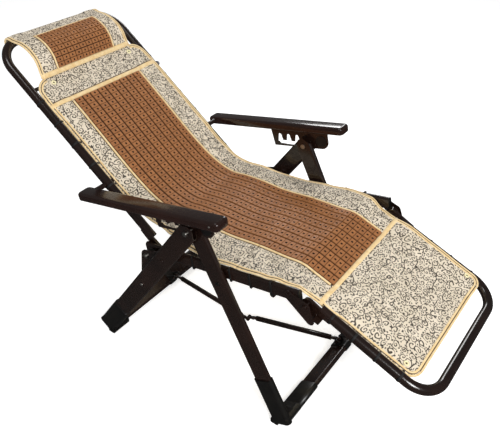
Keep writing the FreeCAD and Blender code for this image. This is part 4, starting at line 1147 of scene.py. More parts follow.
@dataclass
class Mat(Sheet):
    """The padded mat from the neck to the toes: printed borders, a bamboo panel and bound edges."""

    thick: float = 7 * MM
    edge_share: float = 0.25
    edge_columns: int = 5
    puff: float = 4.5 * MM
    droop_power: float = 1.5
    ripple_high: float = 0.5 * MM
    ripple_long: float = 19 * MM
    ripple_lag: float = 1.1
    row_step: float = 7 * MM
    corner_step: float = 10
    corner_rows: int = 8
    top_corner: float = 46 * MM
    toe_corner: float = 32 * MM
    panel_lead: float = 12 * MM
    # The knots of the middle line where the panel starts and ends, at the hip and at the middle of the seat
    panel_knots: tuple[int, int] = (2, 15)
    hip_knot: int = 7
    mid_seat_knot: int = 11
    hip_ease: float = 14 * MM
    # Where the mat's bends begin or end: along a member, and above it
    back_bend_from: Pair = (106 * MM, 26 * MM)
    seat_bend_to: Pair = (170 * MM, 46 * MM)
    knee_bend_from: Pair = (452 * MM, 0.0)
    knee_bend_to: Pair = (58 * MM, 0.0)
    roll: float = 3.2 * MM
    roll_drop: float = 1.5 * MM
    band_inset: float = 3 * MM
    band_high: float = 3 * MM
    neck_band_half: float = 7.5 * MM
    neck_band_lead: float = 7 * MM
    neck_seam_lead: float = 15.5 * MM
    knee_band_half: float = 7 * MM
    knee_band_lag: float = 9 * MM
    hip: float = field(init=False)
    mid_seat: float = field(init=False)
    widths: dict[float, list[Pair]] = field(init=False)
    drops: dict[float, list[Pair]] = field(init=False)

    def __post_init__(self) -> None:
        """Draw the middle line, and read the tables of widths and drops along it."""
        knots = [member.at(along * MM, lift * MM)
                 for member, line in ((self.rig.back, MAT_ON_BACK), (self.rig.seat, MAT_ON_SEAT),
                                      (self.rig.foot, MAT_ON_FOOT))
                 for along, lift in line]
        self.curve = Curve(knots)
        mark = self.curve.knot_marks
        self.panel_start = mark[self.panel_knots[0]] + self.panel_lead
        self.panel_end = mark[self.panel_knots[1]]
        self.hip = mark[self.hip_knot]
        self.mid_seat = mark[self.mid_seat_knot]
        self.widths = {hand: self.stations(table) for hand, table in MAT_HALF_WIDTH.items()}
        self.drops = {hand: self.stations(table) for hand, table in MAT_EDGE_DROP.items()}

    def stations(self, values: dict[int, float]) -> list[Pair]:
        """Return a table of the curve's knots with their values, given in millimetres."""
        return [(self.curve.knot_marks[knot], value * MM) for knot, value in values.items()]

    def half(self, mark: float, hand: float, inset: float = 0.0) -> float:
        """Find half the width on one side, with its corners rounded at both ends.

        Args:
            mark: How far along the mat.
            hand: 1 on the left and -1 on the right.
            inset: How far inside the edge.

        Returns:
            The distance from the middle.
        """
        wide = table_value(self.widths[hand], mark) - inset
        for away, corner in ((mark, self.top_corner), (self.curve.length - mark, self.toe_corner)):
            radius = corner - inset
            reach = radius - (away - inset)
            if reach > 0:
                wide -= radius - math.sqrt(max(radius ** 2 - reach ** 2, 0.0))
        return wide

    def point(self, mark: float, side: float, lift: float = 0.0) -> Vector:
        """Find a point of the mat's upper face, whose borders puff up and droop to the edge.

        Args:
            mark: How far along the mat.
            side: How far across the chair.
            lift: How far above the face, square to it.

        Returns:
            The point.
        """
        hand = math.copysign(1.0, side)
        wide = table_value(self.widths[hand], mark)
        share = min(max(abs(side) - self.panel_half, 0.0) / (wide - self.panel_half), 1.0)
        drop = table_value(self.drops[hand], mark)
        level = self.puff * math.sin(math.pi * share) - drop * share ** self.droop_power
        ripple = self.ripple_high * math.sin(mark / self.ripple_long + self.ripple_lag * hand) * share
        return self.curve.at(mark) + self.curve.normal(mark) * (level + ripple + lift) + LEFTWARD * side

    def sink(self, mark: float, side: float, edge: float) -> float:
        """Return the mat's thickness, which thins out at its bound edge."""
        return self.thick * min(1.0, self.edge_share + edge * self.columns / self.edge_columns)

    def parts(self) -> list[Part]:
        """Cut the mat in three lengths, which meet where both of their bodies move alike.

        Returns:
            The lengths, from the neck to the toes.
        """
        back, seat, foot = self.rig.back, self.rig.seat, self.rig.foot
        hip_bend = (back.at(*self.back_bend_from), self.curve.at(self.hip - self.hip_ease))
        seat_bend = (self.curve.at(self.hip + self.hip_ease), seat.at(*self.seat_bend_to))
        knee_bend = (seat.at(*self.knee_bend_from), foot.at(*self.knee_bend_to))
        return [
            Part("back", 0.0, self.hip, ("back", "rear_legs"), hip_bend, ("back_mat",)),
            Part("hip", self.hip, self.mid_seat, ("rear_legs", "seat"), seat_bend, ()),
            Part("front", self.mid_seat, self.curve.length, ("seat", "footrest"), knee_bend,
                 ("seat_mat", "foot_mat"))]

    def marks(self, part: Part) -> list[float]:
        """Space the rows of one length, closer together round a rounded corner.

        Args:
            part: The length.

        Returns:
            The rows' marks in rising order.
        """
        count = max(int(round((part.end - part.start) / self.row_step)), 2)
        rows = {part.start + (part.end - part.start) * index / count for index in range(count + 1)}
        for corner, end, way in ((self.top_corner, 0.0, 1), (self.toe_corner, self.curve.length, -1)):
            for step in range(1, self.corner_rows + 1):
                at = end + way * corner * (1 - math.cos(math.radians(self.corner_step * step)))
                if part.start <= at <= part.end:
                    rows.add(at)
        return sorted(rows)

    def edge_line(self, rows: Iterable[float], hand: float, inset: float) -> list[Pair]:
        """Return the line that runs beside one edge at an inset, within the mat's two ends."""
        slack = 1e-6
        return [(mark, hand * self.half(mark, hand, inset)) for mark in rows
                if inset - slack <= mark <= self.curve.length - inset + slack]

    def edge_to_edge(self, mark: float, inset: float) -> list[Pair]:
        """Return the line that runs across the mat from edge to edge, less an inset."""
        return self.cross_line(mark, self.half(mark, -1.0, inset), self.half(mark, 1.0, inset))

    def trims(self, part: Part) -> list[bpy.types.Object]:
        """Make one length's straw-coloured rolls and tapes, and the dark seams between them, whose thread
        also paints the shade of their folds.

        Args:
            part: The length.

        Returns:
            The binding and the seams.
        """
        length = self.curve.length
        ends = {mark for inset in (self.roll, self.seam_inset, self.tape_inset)
                for mark in (inset, length - inset) if part.start <= mark <= part.end}
        rows = sorted(ends | set(self.marks(part)))
        panel = self.panel_rows(rows)
        light: list[Run] = []
        # The seams: dark thread that also paints the shade of their folds
        dark: list[Run] = []
        for _, hand in SIDES:
            light.append(Run(self.edge_line(rows, hand, self.roll), self.roll, self.roll, -self.roll_drop))
            light.append(Run(self.edge_line(rows, hand, self.tape_inset), self.tape_half, self.tape_high))
            dark.append(self.seam(self.edge_line(rows, hand, self.seam_inset)))
            if len(panel) > 2:
                roll, seam = self.panel_trims(panel, hand)
                light.append(roll)
                dark.append(seam)
        neck_band = self.panel_start - self.neck_band_lead
        knee_band = self.panel_end + self.knee_band_lag
        for mark, inset, wide, high in (
                (neck_band, self.band_inset, self.neck_band_half, self.band_high),
                (knee_band, self.band_inset, self.knee_band_half, self.band_high),
                (length - self.roll, self.roll, self.roll, self.roll),
                (length - self.tape_inset, self.tape_inset, self.tape_half, self.tape_high)):
            if part.start <= mark <= part.end:
                light.append(Run(self.edge_to_edge(mark, inset), wide, high))
        for mark in (self.panel_start - self.neck_seam_lead, length - self.seam_inset):
            if part.start <= mark <= part.end:
                dark.append(self.seam(self.edge_to_edge(mark, self.seam_inset)))
        return [self.sweep("mat_binding_" + part.name, light, Surface.BINDING),
                self.sweep("mat_seam_" + part.name, dark, Surface.THREAD)]

    def build(self, tiles: TileMaker) -> None:
        """Make every length of the mat with its binding and its tiles, and hide the model's pieces that they
        replace.

        Args:
            tiles: What lays the bamboo tiles.
        """
        for part in self.parts():
            cover = self.shell("mat_cover_" + part.name, self.marks(part))
            bamboo = self.bamboo("bamboo_" + part.name, tiles, part.start, part.end)
            for piece in [cover, bamboo] + self.trims(part):
                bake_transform(piece)
                LOG.info("%s bends from %s to %s", piece.name, *part.bodies)
            if part.replaces:
                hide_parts(*part.replaces)


@dataclass
class HeadPad(Sheet):
    """The arched head pad over the top bar: printed cloth, a small bamboo panel and bound sides."""

    columns: int = 40
    cross_steps: int = 40
    map_start: float = 0.3
    seam_inset: float = 6.6 * MM
    tape_inset: float = 10.2 * MM
    panel_half: float = 119 * MM
    panel_lap: float = 3 * MM
    panel_roll_half: float = 3.2 * MM
    panel_roll_high: float = 3.8 * MM
    panel_seam_gap: float = 4.4 * MM
    tile_across: float = 25.8 * MM
    tile_along: float = 15.5 * MM
    tile_start: float = 0.0
    tile_overrun: float = 0.0
    gap_along: float = 1.4 * MM
    gap_across: float = 2.6 * MM
    fill: float = 0.7
    half_width: float = 187 * MM
    waist: float = 4 * MM
    puff: float = 3 * MM
    side_drop: float = 7 * MM
    edge_thick: float = 6 * MM
    edge_share: float = 0.4
    core_thick: float = 30 * MM
    core_start: float = 0.36
    core_long: float = 0.62
    core_wide: float = 0.93
    hem_thick: float = 3.2 * MM
    bar_along: float = 799 * MM
    bar_wrap: float = 17.6 * MM
    # The cloth's middle line: its turns round the bar in degrees, then places in millimetres over the crest
    around_bar: tuple[float, ...] = (-95, -55, -15, 25, 60)
    over_crest: tuple[Pair, ...] = ((792, 24), (757, 47), (725, 57), (695, 57), (672, 49), (652, 34),
                                     (634, 21))
    # The knots of that line where it leaves the bar, and where the panel starts
    bar_knot: int = 4
    panel_knot: int = 6
    panel_lead: float = 6 * MM
    panel_tail: float = 13 * MM
    rows: int = 60
    side_roll: float = 3.2 * MM
    side_roll_inset: float = 2.6 * MM
    side_roll_drop: float = 1.2 * MM
    band_high: float = 3.4 * MM
    band_gap: float = 4 * MM
    band_reach: float = 3 * MM
    band_half: float = 4.2 * MM
    hem_back: float = 5 * MM
    hem_inset: float = 2 * MM
    hem_half: float = 8.5 * MM
    bar_end: float = field(init=False)

    def __post_init__(self) -> None:
        """Draw the pad's line, round the top bar, over the crest and down to the mat's neck."""
        back = self.rig.back
        knots = [back.at(self.bar_along + self.bar_wrap * math.cos(math.radians(turn)),
                         self.bar_wrap * math.sin(math.radians(turn))) for turn in self.around_bar]
        knots += [back.at(along * MM, lift * MM) for along, lift in self.over_crest]
        self.curve = Curve(knots)
        self.bar_end = self.curve.knot_marks[self.bar_knot]
        self.panel_start = self.curve.knot_marks[self.panel_knot] - self.panel_lead
        self.panel_end = self.curve.length - self.panel_tail

    def half(self, mark: float, hand: float, inset: float = 0.0) -> float:
        """Return half the pad's width less an inset: it draws in a little at its crest."""
        return self.half_width - self.waist * math.sin(math.pi * mark / self.curve.length) - inset

    def point(self, mark: float, side: float, lift: float = 0.0) -> Vector:
        """Find a point of the pad's upper face, whose borders puff up and fall away at the crest.

        Args:
            mark: How far along the pad.
            side: How far across the chair.
            lift: How far above the face, square to it.

        Returns:
            The point.
        """
        share = min(max(abs(side) - self.panel_half, 0.0) / (self.half_width - self.panel_half), 1.0)
        crest = math.sin(math.pi * mark / self.curve.length)
        level = self.puff * math.sin(math.pi * share) - self.side_drop * share ** 2 * crest
        return self.curve.at(mark) + self.curve.normal(mark) * (level + lift) + LEFTWARD * side

    def sink(self, mark: float, side: float, edge: float) -> float:
        """Find how thick the pad is: thin round the bar and at its bound edges, and filled at its middle.

        Args:
            mark: How far along the pad.
            side: How far across the chair.
            edge: 0 at the pad's edge and 1 in its middle.

        Returns:
            The thickness.
        """
        if edge == 0:
            return self.edge_thick * self.edge_share
        along = (mark / self.curve.length - self.core_start) / self.core_long
        body = math.sin(math.pi * min(max(along, 0.0), 1.0))
        across = max(1 - (abs(side) / (self.half_width * self.core_wide)) ** 4, 0.0)
        thick = self.edge_thick + (self.core_thick - self.edge_thick) * body * across
        return min(thick, self.hem_thick) if mark < self.bar_end else thick

    def trims(self, marks: Sequence[float]) -> list[bpy.types.Object]:
        """Make the bindings of the pad's sides and of its panel, and the seams beside them, whose dark thread
        also paints the shade of their folds.

        Args:
            marks: The pad's rows.

        Returns:
            The binding and the seams.
        """
        last = self.curve.length
        panel = self.panel_rows(marks)
        light: list[Run] = []
        # The seams: dark thread that also paints the shade of their folds
        dark: list[Run] = []
        for _, hand in SIDES:
            roll_line, seam_line, tape_line = (
                [(mark, hand * self.half(mark, hand, inset)) for mark in marks]
                for inset in (self.side_roll_inset, self.seam_inset, self.tape_inset))
            light.append(Run(roll_line, self.side_roll, self.side_roll, -self.side_roll_drop))
            light.append(Run(tape_line, self.tape_half, self.tape_high))
            dark.append(self.seam(seam_line))
            roll, seam = self.panel_trims(panel, hand)
            light.append(roll)
            dark.append(seam)
        hem_reach = self.half(last, 1.0, self.hem_inset)
        for mark, reach, wide in (
                (self.panel_start - self.band_gap, self.panel_half + self.band_reach, self.band_half),
                (last - self.hem_back, hem_reach, self.hem_half)):
            light.append(Run(self.cross_line(mark, reach, reach), wide, self.band_high))
        return [self.sweep("head_binding", light, Surface.BINDING),
                self.sweep("head_seam", dark, Surface.THREAD)]

    def build(self, tiles: TileMaker) -> None:
        """Make the pad, its bindings and its tiles, all of which ride on the back.

        Args:
            tiles: What lays the bamboo tiles.
        """
        marks = [self.curve.length * index / self.rows for index in range(self.rows + 1)]
        pad = self.shell("head_pad", marks)
        for piece in [pad, self.bamboo("bamboo_head", tiles)] + self.trims(marks):
            ride(piece, "back")
        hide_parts("head_roll")


@dataclass(frozen=True)
class LoopRow:
    """A row of elastic loops along one member: the node that it stands for, and where it lies."""

    node: str
    body: str
    member: SideFrame
    start: float
    end: float
    count: int


@dataclass
class Loops:
    """The black elastic loops that hold the mat's edge to the tube beside it."""

    rig: Rig
    mat: Mat
    strap_half_thick: float = 0.7 * MM
    strap_half: float = 3.5 * MM
    edge_inset: float = 9 * MM
    edge_sink: float = 4.5 * MM
    edge_search: float = 4 * MM
    tube: float = 14 * MM
    tube_level: float = 234 * MM
    wrap: float = 100
    wrap_steps: int = 12
    seat_level: float = 257 * MM
    seat_half_thick: float = 8 * MM
    seat_half_high: float = 20 * MM
    return_drop: float = 5 * MM
    return_top: float = 4 * MM
    return_gap: float = 1 * MM
    runs: int = 3

    def rows(self) -> list[LoopRow]:
        """Return the loops' rows, with as many loops as the frame has."""
        return [LoopRow("back_loops", "back", self.rig.back, 0.112, 0.612, 6),
                LoopRow("seat_loops", "seat", self.rig.seat, 0.125, 0.470, 5),
                LoopRow("foot_loops", "footrest", self.rig.foot, 0.034, 0.322, 4)]

    def edge_of_mat(self, spot: Vector, hand: float) -> Vector:
        """Find the mat's edge that lies nearest a place on a member.

        Args:
            spot: The place in the side view.
            hand: 1 on the left and -1 on the right.

        Returns:
            A point inside the edge, within the mat's thickness.
        """
        curve = self.mat.curve
        near = min(range(int(curve.length / self.edge_search)),
                   key=lambda index: (curve.at(index * self.edge_search) - spot).length)
        mark = near * self.edge_search
        return self.mat.point(mark, hand * (self.mat.half(mark, hand) - self.edge_inset), -self.edge_sink)

    def around(self, body: str) -> list[Pair]:
        """Draw the strap's way round the outer half of a tube.

        Args:
            body: The body that the tube belongs to: the seat's tube is flat, the others are round.

        Returns:
            How far out and how high each corner lies, from the upper face to the lower.
        """
        if body == "seat":
            wide = self.seat_half_thick + self.strap_half_thick
            high = self.seat_half_high + self.strap_half_thick
            near, far = self.seat_level - wide, self.seat_level + wide
            return [(near, high), (far, high), (far, -high), (near, -high)]
        radius = self.tube + self.strap_half_thick
        angles = [math.radians(self.wrap - step * 2 * self.wrap / self.wrap_steps)
                  for step in range(self.wrap_steps + 1)]
        return [(self.tube_level + radius * math.cos(angle), radius * math.sin(angle)) for angle in angles]

    def ring(self, row: LoopRow, along: float, hand: float) -> Shape:
        """Make one loop: from the mat's edge round the tube's outer half, and back beneath it.

        Args:
            row: The row that the loop belongs to.
            along: Where it lies along the member.
            hand: 1 on the left and -1 on the right.

        Returns:
            Points and faces.
        """
        member = row.member
        edge = self.edge_of_mat(member.at(along), hand)
        lift = (edge - member.at(along)).dot(member.up)
        inner = abs(edge.y)
        level, half = ((self.seat_level, self.seat_half_thick) if row.body == "seat"
                       else (self.tube_level, self.tube))
        near = level - half - self.strap_half_thick
        outline = [(inner, lift)] + self.around(row.body)
        outline.append((min(inner, near - self.return_gap), min(lift - self.return_drop, self.return_top)))
        line = [member.at(along, up, hand * across) for across, up in outline]
        dense = [one.lerp(other, step / self.runs)
                 for one, other in zip(line, line[1:] + line[:1]) for step in range(self.runs)]
        return tube_along(dense, [member.ahead] * len(dense), self.strap_half_thick, self.strap_half,
                          closed=True, sides=8)

    def build(self) -> None:
        """Make every row of loops."""
        for row in self.rows():
            pitch = (row.end - row.start) / row.count
            rings = [self.ring(row, row.start + pitch * (number + 0.5), hand)
                     for number in range(row.count) for _, hand in SIDES]
            piece = closed_piece("elastic_" + row.body, join_parts(rings), (Surface.ELASTIC,))
            ride(piece, row.body)
            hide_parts(row.node)


@dataclass
class Armrests:
    """The two moulded armrests: a crowned top with a bevelled rim, and rounded ends."""

    rig: Rig
    inner: float = 283 * MM
    wide: float = 52 * MM
    tail: float = 28 * MM
    nose: float = 524 * MM
    thick: float = 24 * MM
    corner: float = 13 * MM
    least_corner: float = 2 * MM
    corner_steps: int = 6
    crown: float = 1.4 * MM
    crown_sink: float = 0.6
    # The wall from the underside to the top, in millimetres: how far it is drawn in, and its height. The
    # crown begins above one of these heights
    crown_from: float = 20
    wall: tuple[Pair, ...] = ((3.5, 0.0), (1.2, 0.0), (0.3, 1.5), (0.0, 4.0), (0.0, 17.6), (0.4, 18.8),
                               (3.6, 22.4), (4.6, 23.1), (6.5, 23.7), (10.0, 24.0))

    def outline(self, inset: float) -> list[Pair]:
        """Draw the plan outline with round corners.

        Args:
            inset: How far it is drawn in.

        Returns:
            How far ahead of the pivot and how far outwards each point lies.
        """
        radius = max(self.corner - inset, self.least_corner)
        low_x, high_x = radius + inset - self.tail, self.nose - inset - radius
        low_y, high_y = inset + radius, self.wide - inset - radius
        corners = ((high_x, high_y, 0), (low_x, high_y, 90), (low_x, low_y, 180), (high_x, low_y, 270))
        points = []
        for x, y, start in corners:
            for step in range(self.corner_steps + 1):
                angle = math.radians(start + step * 90 / self.corner_steps)
                points.append((x + radius * math.cos(angle), y + radius * math.sin(angle)))
        return points

    def shape(self, side: float) -> Shape:
        """Make one armrest.

        Args:
            side: 1 on the left and -1 on the right.

        Returns:
            Points and faces.
        """
        points: list[Vector] = []
        for inset, level in self.wall:
            for x, y in self.outline(inset * MM):
                lift = level * MM - self.thick / 2
                if level > self.crown_from:
                    lift += self.crown * (1 - (2 * y / self.wide - 1) ** 2 - self.crown_sink)
                points.append(self.rig.arm.at(x, lift, side * (self.inner + y)))
        count = len(points) // len(self.wall)
        # Strips across the crown take the place of the flat cap
        faces = ring_faces(len(self.wall), count)[:-1]
        top = len(points) - count
        faces += [[top + step, top + step + 1, top + count - 2 - step, top + count - 1 - step]
                  for step in range(count // 2 - 1)]
        return points, faces

    def build(self) -> None:
        """Make both armrests and put them on their bodies."""
        for name, side in SIDES:
            piece = closed_piece("armrest_shell_" + name, self.shape(side), (Surface.GLOSSY_PLASTIC,))
            ride(piece, "armrest_" + name)
            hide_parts("armrest_" + name)


@dataclass
class Fasteners:
    """Small parts: domed rivet heads on the frame, a toggle, and eyelets in the mat."""

    rig: Rig
    mat: Mat
    tiles: TileMaker
    dome_radius: float = 8 * MM
    dome_high: float = 3.2 * MM
    dome_sides: int = 16
    dome_tilts: tuple[int, ...] = (0, 25, 50, 72)
    small_share: float = 0.7
    rivet_radius: float = 6 * MM
    screw_along: float = 0.497
    screw_side: float = 0.335
    screw_radius: float = 3.2 * MM
    screw_high: float = 1.4 * MM
    toggle_place: tuple[float, float, float] = (534 * MM, 6 * MM, 246 * MM)
    toggle_radius: float = 9 * MM
    eyelet_radius: float = 8.2 * MM
    eyelet_lift: float = 0.8 * MM
    eyelet_steps: int = 20
    # The eyelet's rolled section, as shares of its radius: its middle, its level, half its width and height
    roll_middle: float = 0.66
    roll_level: float = 0.12
    roll_half_wide: float = 0.34
    roll_half_high: float = 0.24
    # The dark disc of painted shade in the eyelet's hole: its share of the radius, and its height
    hole_share: float = 0.5
    hole_high: float = 0.6 * MM
    toe_eyelet_back: float = 44 * MM
    toe_eyelet_inset: float = 22 * MM
    neck_eyelet_ahead: float = 24 * MM
    neck_eyelet_inset: float = 62 * MM

    def unit_dome(self) -> bpy.types.Object:
        """Make a low dome one unit in radius and height.

        Returns:
            The dome.
        """
        points = []
        for tilt in self.dome_tilts:
            turn = math.radians(tilt)
            for step in range(self.dome_sides):
                angle = math.tau * step / self.dome_sides
                points.append(Vector((math.cos(turn) * math.cos(angle), math.cos(turn) * math.sin(angle),
                                      math.sin(turn))))
        shape = (points, ring_faces(len(self.dome_tilts), self.dome_sides))
        return mesh_piece("one_dome", shape, (Surface.ZINC,))

    def unit_eyelet(self) -> bpy.types.Object:
        """Make a rolled ring one unit in radius.

        Returns:
            The ring.
        """
        angles = [math.tau * step / self.eyelet_steps for step in range(self.eyelet_steps)]
        middle, level = self.roll_middle, self.roll_level
        line = [Vector((middle * math.cos(angle), middle * math.sin(angle), level)) for angle in angles]
        shape = tube_along(line, [UPWARD] * len(line), self.roll_half_wide, self.roll_half_high, closed=True,
                           sides=8)
        return mesh_piece("one_eyelet", shape, (Surface.EYELET,))

    def add_heads(self, dome: bpy.types.Object) -> None:
        """Lay the domes on the rivets and bolts, on the armrests' screws and on the back's toggle.

        Args:
            dome: The unit dome.
        """
        low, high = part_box("hip_rivets")
        lower_rivet = Vector((low.x + self.rivet_radius, high.y, low.z + self.rivet_radius))
        small = self.dome_radius * self.small_share
        for name, spot, radius in (("dome_pivot", self.outer_end("leg_pins"), self.dome_radius),
                                   ("dome_hip", self.outer_end("hip_bolts"), small),
                                   ("dome_leg", lower_rivet, small)):
            spots = [(Vector((spot.x, side * spot.y, spot.z)), LEFTWARD * side, FORWARD) for _, side in SIDES]
            size = Vector((radius, radius, self.dome_high))
            self.dress(self.tiles.lay(name, spots, size, dome, Surface.ZINC), "rear_legs", "bright_steel")
        for name, side in SIDES:
            end = self.rig.arm.at(self.screw_along, 0.0, side * self.screw_side)
            spots = [(end, LEFTWARD * side, FORWARD)]
            size = Vector((self.screw_radius, self.screw_radius, self.screw_high))
            screw = self.tiles.lay("screw_" + name, spots, size, dome, Surface.ZINC)
            self.dress(screw, "armrest_" + name, "bright_steel")
        spot = (self.rig.back.at(*self.toggle_place), LEFTWARD, FORWARD)
        size = Vector((self.toggle_radius,) * 3)
        toggle = self.tiles.lay("toggle", [spot], size, dome, Surface.GREY_PLASTIC)
        self.dress(toggle, "back", "black_plastic")

    def add_eyelets(self, disc: bpy.types.Object) -> None:
        """Lay the eyelets at the mat's corners, each with a dark disc in its hole that paints the hole's
        shade.

        Args:
            disc: The unit dome, which is flattened into the painted shade of the hole.
        """
        ring = self.unit_eyelet()
        size = Vector((self.eyelet_radius,) * 3)
        # A flat dark disc in each eyelet paints the shade of its hole
        hole_radius = self.eyelet_radius * self.hole_share
        hole = Vector((hole_radius, hole_radius, self.hole_high))
        toe_mark = self.mat.curve.length - self.toe_eyelet_back
        for name, body, mark, inset in (("toe", "footrest", toe_mark, self.toe_eyelet_inset),
                                        ("neck", "back", self.neck_eyelet_ahead, self.neck_eyelet_inset)):
            up = self.mat.curve.normal(mark)
            spots = []
            for _, hand in SIDES:
                side = hand * (table_value(self.mat.widths[hand], mark) - inset)
                spots.append((self.mat.point(mark, side, self.eyelet_lift), up, FORWARD))
            self.dress(self.tiles.lay("eyelets_" + name, spots, size, ring, Surface.EYELET), body, "mat")
            self.dress(self.tiles.lay("holes_" + name, spots, hole, disc, Surface.THREAD), body, "mat")
        bpy.data.objects.remove(ring)

    def build(self) -> None:
        """Place the domes on the pin heads and the eyelets at the mat's corners."""
        dome = self.unit_dome()
        self.add_heads(dome)
        self.add_eyelets(dome)
        bpy.data.objects.remove(dome)

    @staticmethod
    def outer_end(node: str) -> Vector:
        """Return the middle of the left outer end of a node's pins."""
        low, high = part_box(node)
        return Vector(((low.x + high.x) / 2, high.y, (low.z + high.z) / 2))

    @staticmethod
    def dress(piece: bpy.types.Object, body: str, slot: str) -> None:
        """Shade a small piece smooth and put it on its body.

        Args:
            piece: The piece.
            body: The body that carries it.
            slot: The name of its kind of finish; not used.
        """
        for polygon in piece.data.polygons:
            polygon.use_smooth = True
        ride(piece, body)


@dataclass
class Frame:
    """The steel and plastic pieces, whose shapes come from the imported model."""

    nodes: dict
    steel: tuple[str, ...] = ("leg_pins", "hip_bolts")
    plastic: tuple[str, ...] = ("seat_tube_caps", "leg_washers", "hip_spacers", "rear_brace_clip",
                                "front_brace_clip", "seat_pegs", "arm_lug_left", "arm_lug_right")

    def finish_of(self, node: str) -> Surface:
        """Choose the finish of a piece by what it is.

        Args:
            node: The piece's name.

        Returns:
            Its finish.
        """
        if node in self.steel:
            return Surface.ZINC
        if node in self.plastic or "shoe" in node:
            return Surface.SATIN_PLASTIC
        if node.startswith("armrest_"):
            return Surface.GLOSSY_PLASTIC
        if node.endswith("_loops"):
            return Surface.ELASTIC
        if node.endswith("_mat") or node == "head_roll":
            return Surface.LINING
        return Surface.ENAMEL

    def build(self) -> None:
        """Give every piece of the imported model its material."""
        for name, piece in self.nodes.items():
            piece.data.materials.clear()
            piece.data.materials.append(self.finish_of(name).material())
        LOG.info("%d frame pieces dressed", len(self.nodes))


@dataclass
class FloorParts:
    """The parts low down: the oval sleeves of the folding brace, and the long arms of the front shoes."""

    rig: Rig
    brace_level: float = 85 * MM
    brace_joint_level: float = 12.6 * MM
    brace_reach: float = 337 * MM
    brace_sag: float = 5.1
    sleeve_gap: float = 26 * MM
    sleeve_half_high: float = 11.5 * MM
    sleeve_half_thick: float = 6.5 * MM
    sleeve_sides: int = 20
    bar_half_wide: float = 30 * MM
    bar_half_thick: float = 9 * MM
    shoe_wall: float = 3 * MM
    shoe_start: float = 117 * MM
    shoe_end: float = 217 * MM
    shoe_sides: int = 24
    # The eased mouth of a shoe's arm: how far in it begins, and how much narrower it is
    shoe_mouth: tuple[Pair, ...] = ((0.0, -2.4 * MM), (0.8 * MM, -0.8 * MM), (3 * MM, 0.0))
    shoe_flare: float = 0.2 * MM
    leg_inner: float = 264.5 * MM
    web_radius: float = 46 * MM
    web_steps: int = 10
    web_overlap: float = 2 * MM
    web_root: float = 4 * MM
    web_inset: float = 6 * MM

    def build(self) -> None:
        """Make the sleeves and the shoes' arms."""
        rear = self.rig.pivot("brace_rear_swing")
        front = self.rig.pivot("brace_front_swing")
        sag = math.radians(self.brace_sag)
        joint = rear + Vector((math.cos(sag), 0, -math.sin(sag))) * self.brace_reach
        self.sleeve("brace_sleeve_rear", "brace_rear", rear, joint)
        self.sleeve("brace_sleeve_front", "brace_front", front + LEFTWARD * self.brace_level,
                    joint + LEFTWARD * self.brace_joint_level)
        low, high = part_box("front_floor_bar")
        centre = Vector(((low.x + high.x) / 2, 0, (low.z + high.z) / 2))
        down = (centre - self.rig.pivot("leg_fold")).normalized()
        for name, side in SIDES:
            shape = join_parts([self.shoe_arm(centre, down, side), self.web(centre, down, side)])
            piece = closed_piece("front_shoe_arm_" + name, shape, (Surface.SATIN_PLASTIC,))
            ride(piece, "front_legs")

    def sleeve(self, name: str, body: str, start: Vector, end: Vector) -> None:
        """Make one oval sleeve along a brace arm, clear of the joints at its ends.

        Args:
            name: The sleeve's name.
            body: The arm's body.
            start: The arm's joint at the floor bar.
            end: The arm's joint in the brace's middle.
        """
        run = (end - start).normalized()
        line = [start + run * self.sleeve_gap, start.lerp(end, 0.5), end - run * self.sleeve_gap]
        up = Vector((-run.z, 0, run.x))
        shape = tube_along(line, [up] * 3, self.sleeve_half_thick, self.sleeve_half_high,
                           sides=self.sleeve_sides)
        ride(closed_piece(name, shape, (Surface.ENAMEL,)), body)

    def shoe_arm(self, centre: Vector, down: Vector, side: float) -> Shape:
        """Make the part of a shoe that runs along the floor bar, a flat oval with an eased mouth.

        Args:
            centre: The bar's middle.
            down: The direction down the leg.
            side: 1 on the left and -1 on the right.

        Returns:
            Points and faces.
        """
        wide_way = Vector((-down.z, 0, down.x))
        thick = self.bar_half_thick + self.shoe_wall
        flat = self.bar_half_wide + self.shoe_wall - thick
        rings = [(self.shoe_start + ahead, grow) for ahead, grow in self.shoe_mouth]
        rings.append((self.shoe_end, self.shoe_flare))
        points = []
        for level, grow in rings:
            radius = thick + grow
            for step in range(self.shoe_sides):
                angle = math.tau * step / self.shoe_sides
                across = math.copysign(flat, math.cos(angle)) + radius * math.cos(angle)
                points.append(centre + wide_way * across + down * (radius * math.sin(angle))
                              + LEFTWARD * (side * level))
        return points, ring_faces(len(rings), self.shoe_sides)

    def web(self, centre: Vector, down: Vector, side: float) -> Shape:
        """Make the curved web in the corner between the bar and the leg, nearly as wide as both.

        Args:
            centre: The bar's middle.
            down: The direction down the leg.
            side: 1 on the left and -1 on the right.

        Returns:
            Points and faces.
        """
        wide_way = Vector((-down.z, 0, down.x))
        top = self.bar_half_thick + self.shoe_wall - self.web_overlap
        root = top - self.web_root
        corner_up = top + self.web_radius
        corner_in = self.leg_inner - self.web_radius
        angles = [math.radians(90 * step / self.web_steps) for step in range(self.web_steps + 1)]
        outline = [(self.leg_inner, root), (self.leg_inner, corner_up)]
        outline += [(corner_in + self.web_radius * math.cos(angle),
                     corner_up - self.web_radius * math.sin(angle)) for angle in angles]
        outline.append((corner_in, root))
        half = self.bar_half_wide - self.web_inset
        points = [centre + wide_way * offset - down * rise + LEFTWARD * (side * level)
                  for offset in (-half, half) for level, rise in outline]
        return points, ring_faces(2, len(outline))


@dataclass(frozen=True)
class Lamp:
    """A large square lamp: its name, its place, its side and its power in watts."""

    name: str
    place: tuple[float, float, float]
    size: float
    power: float


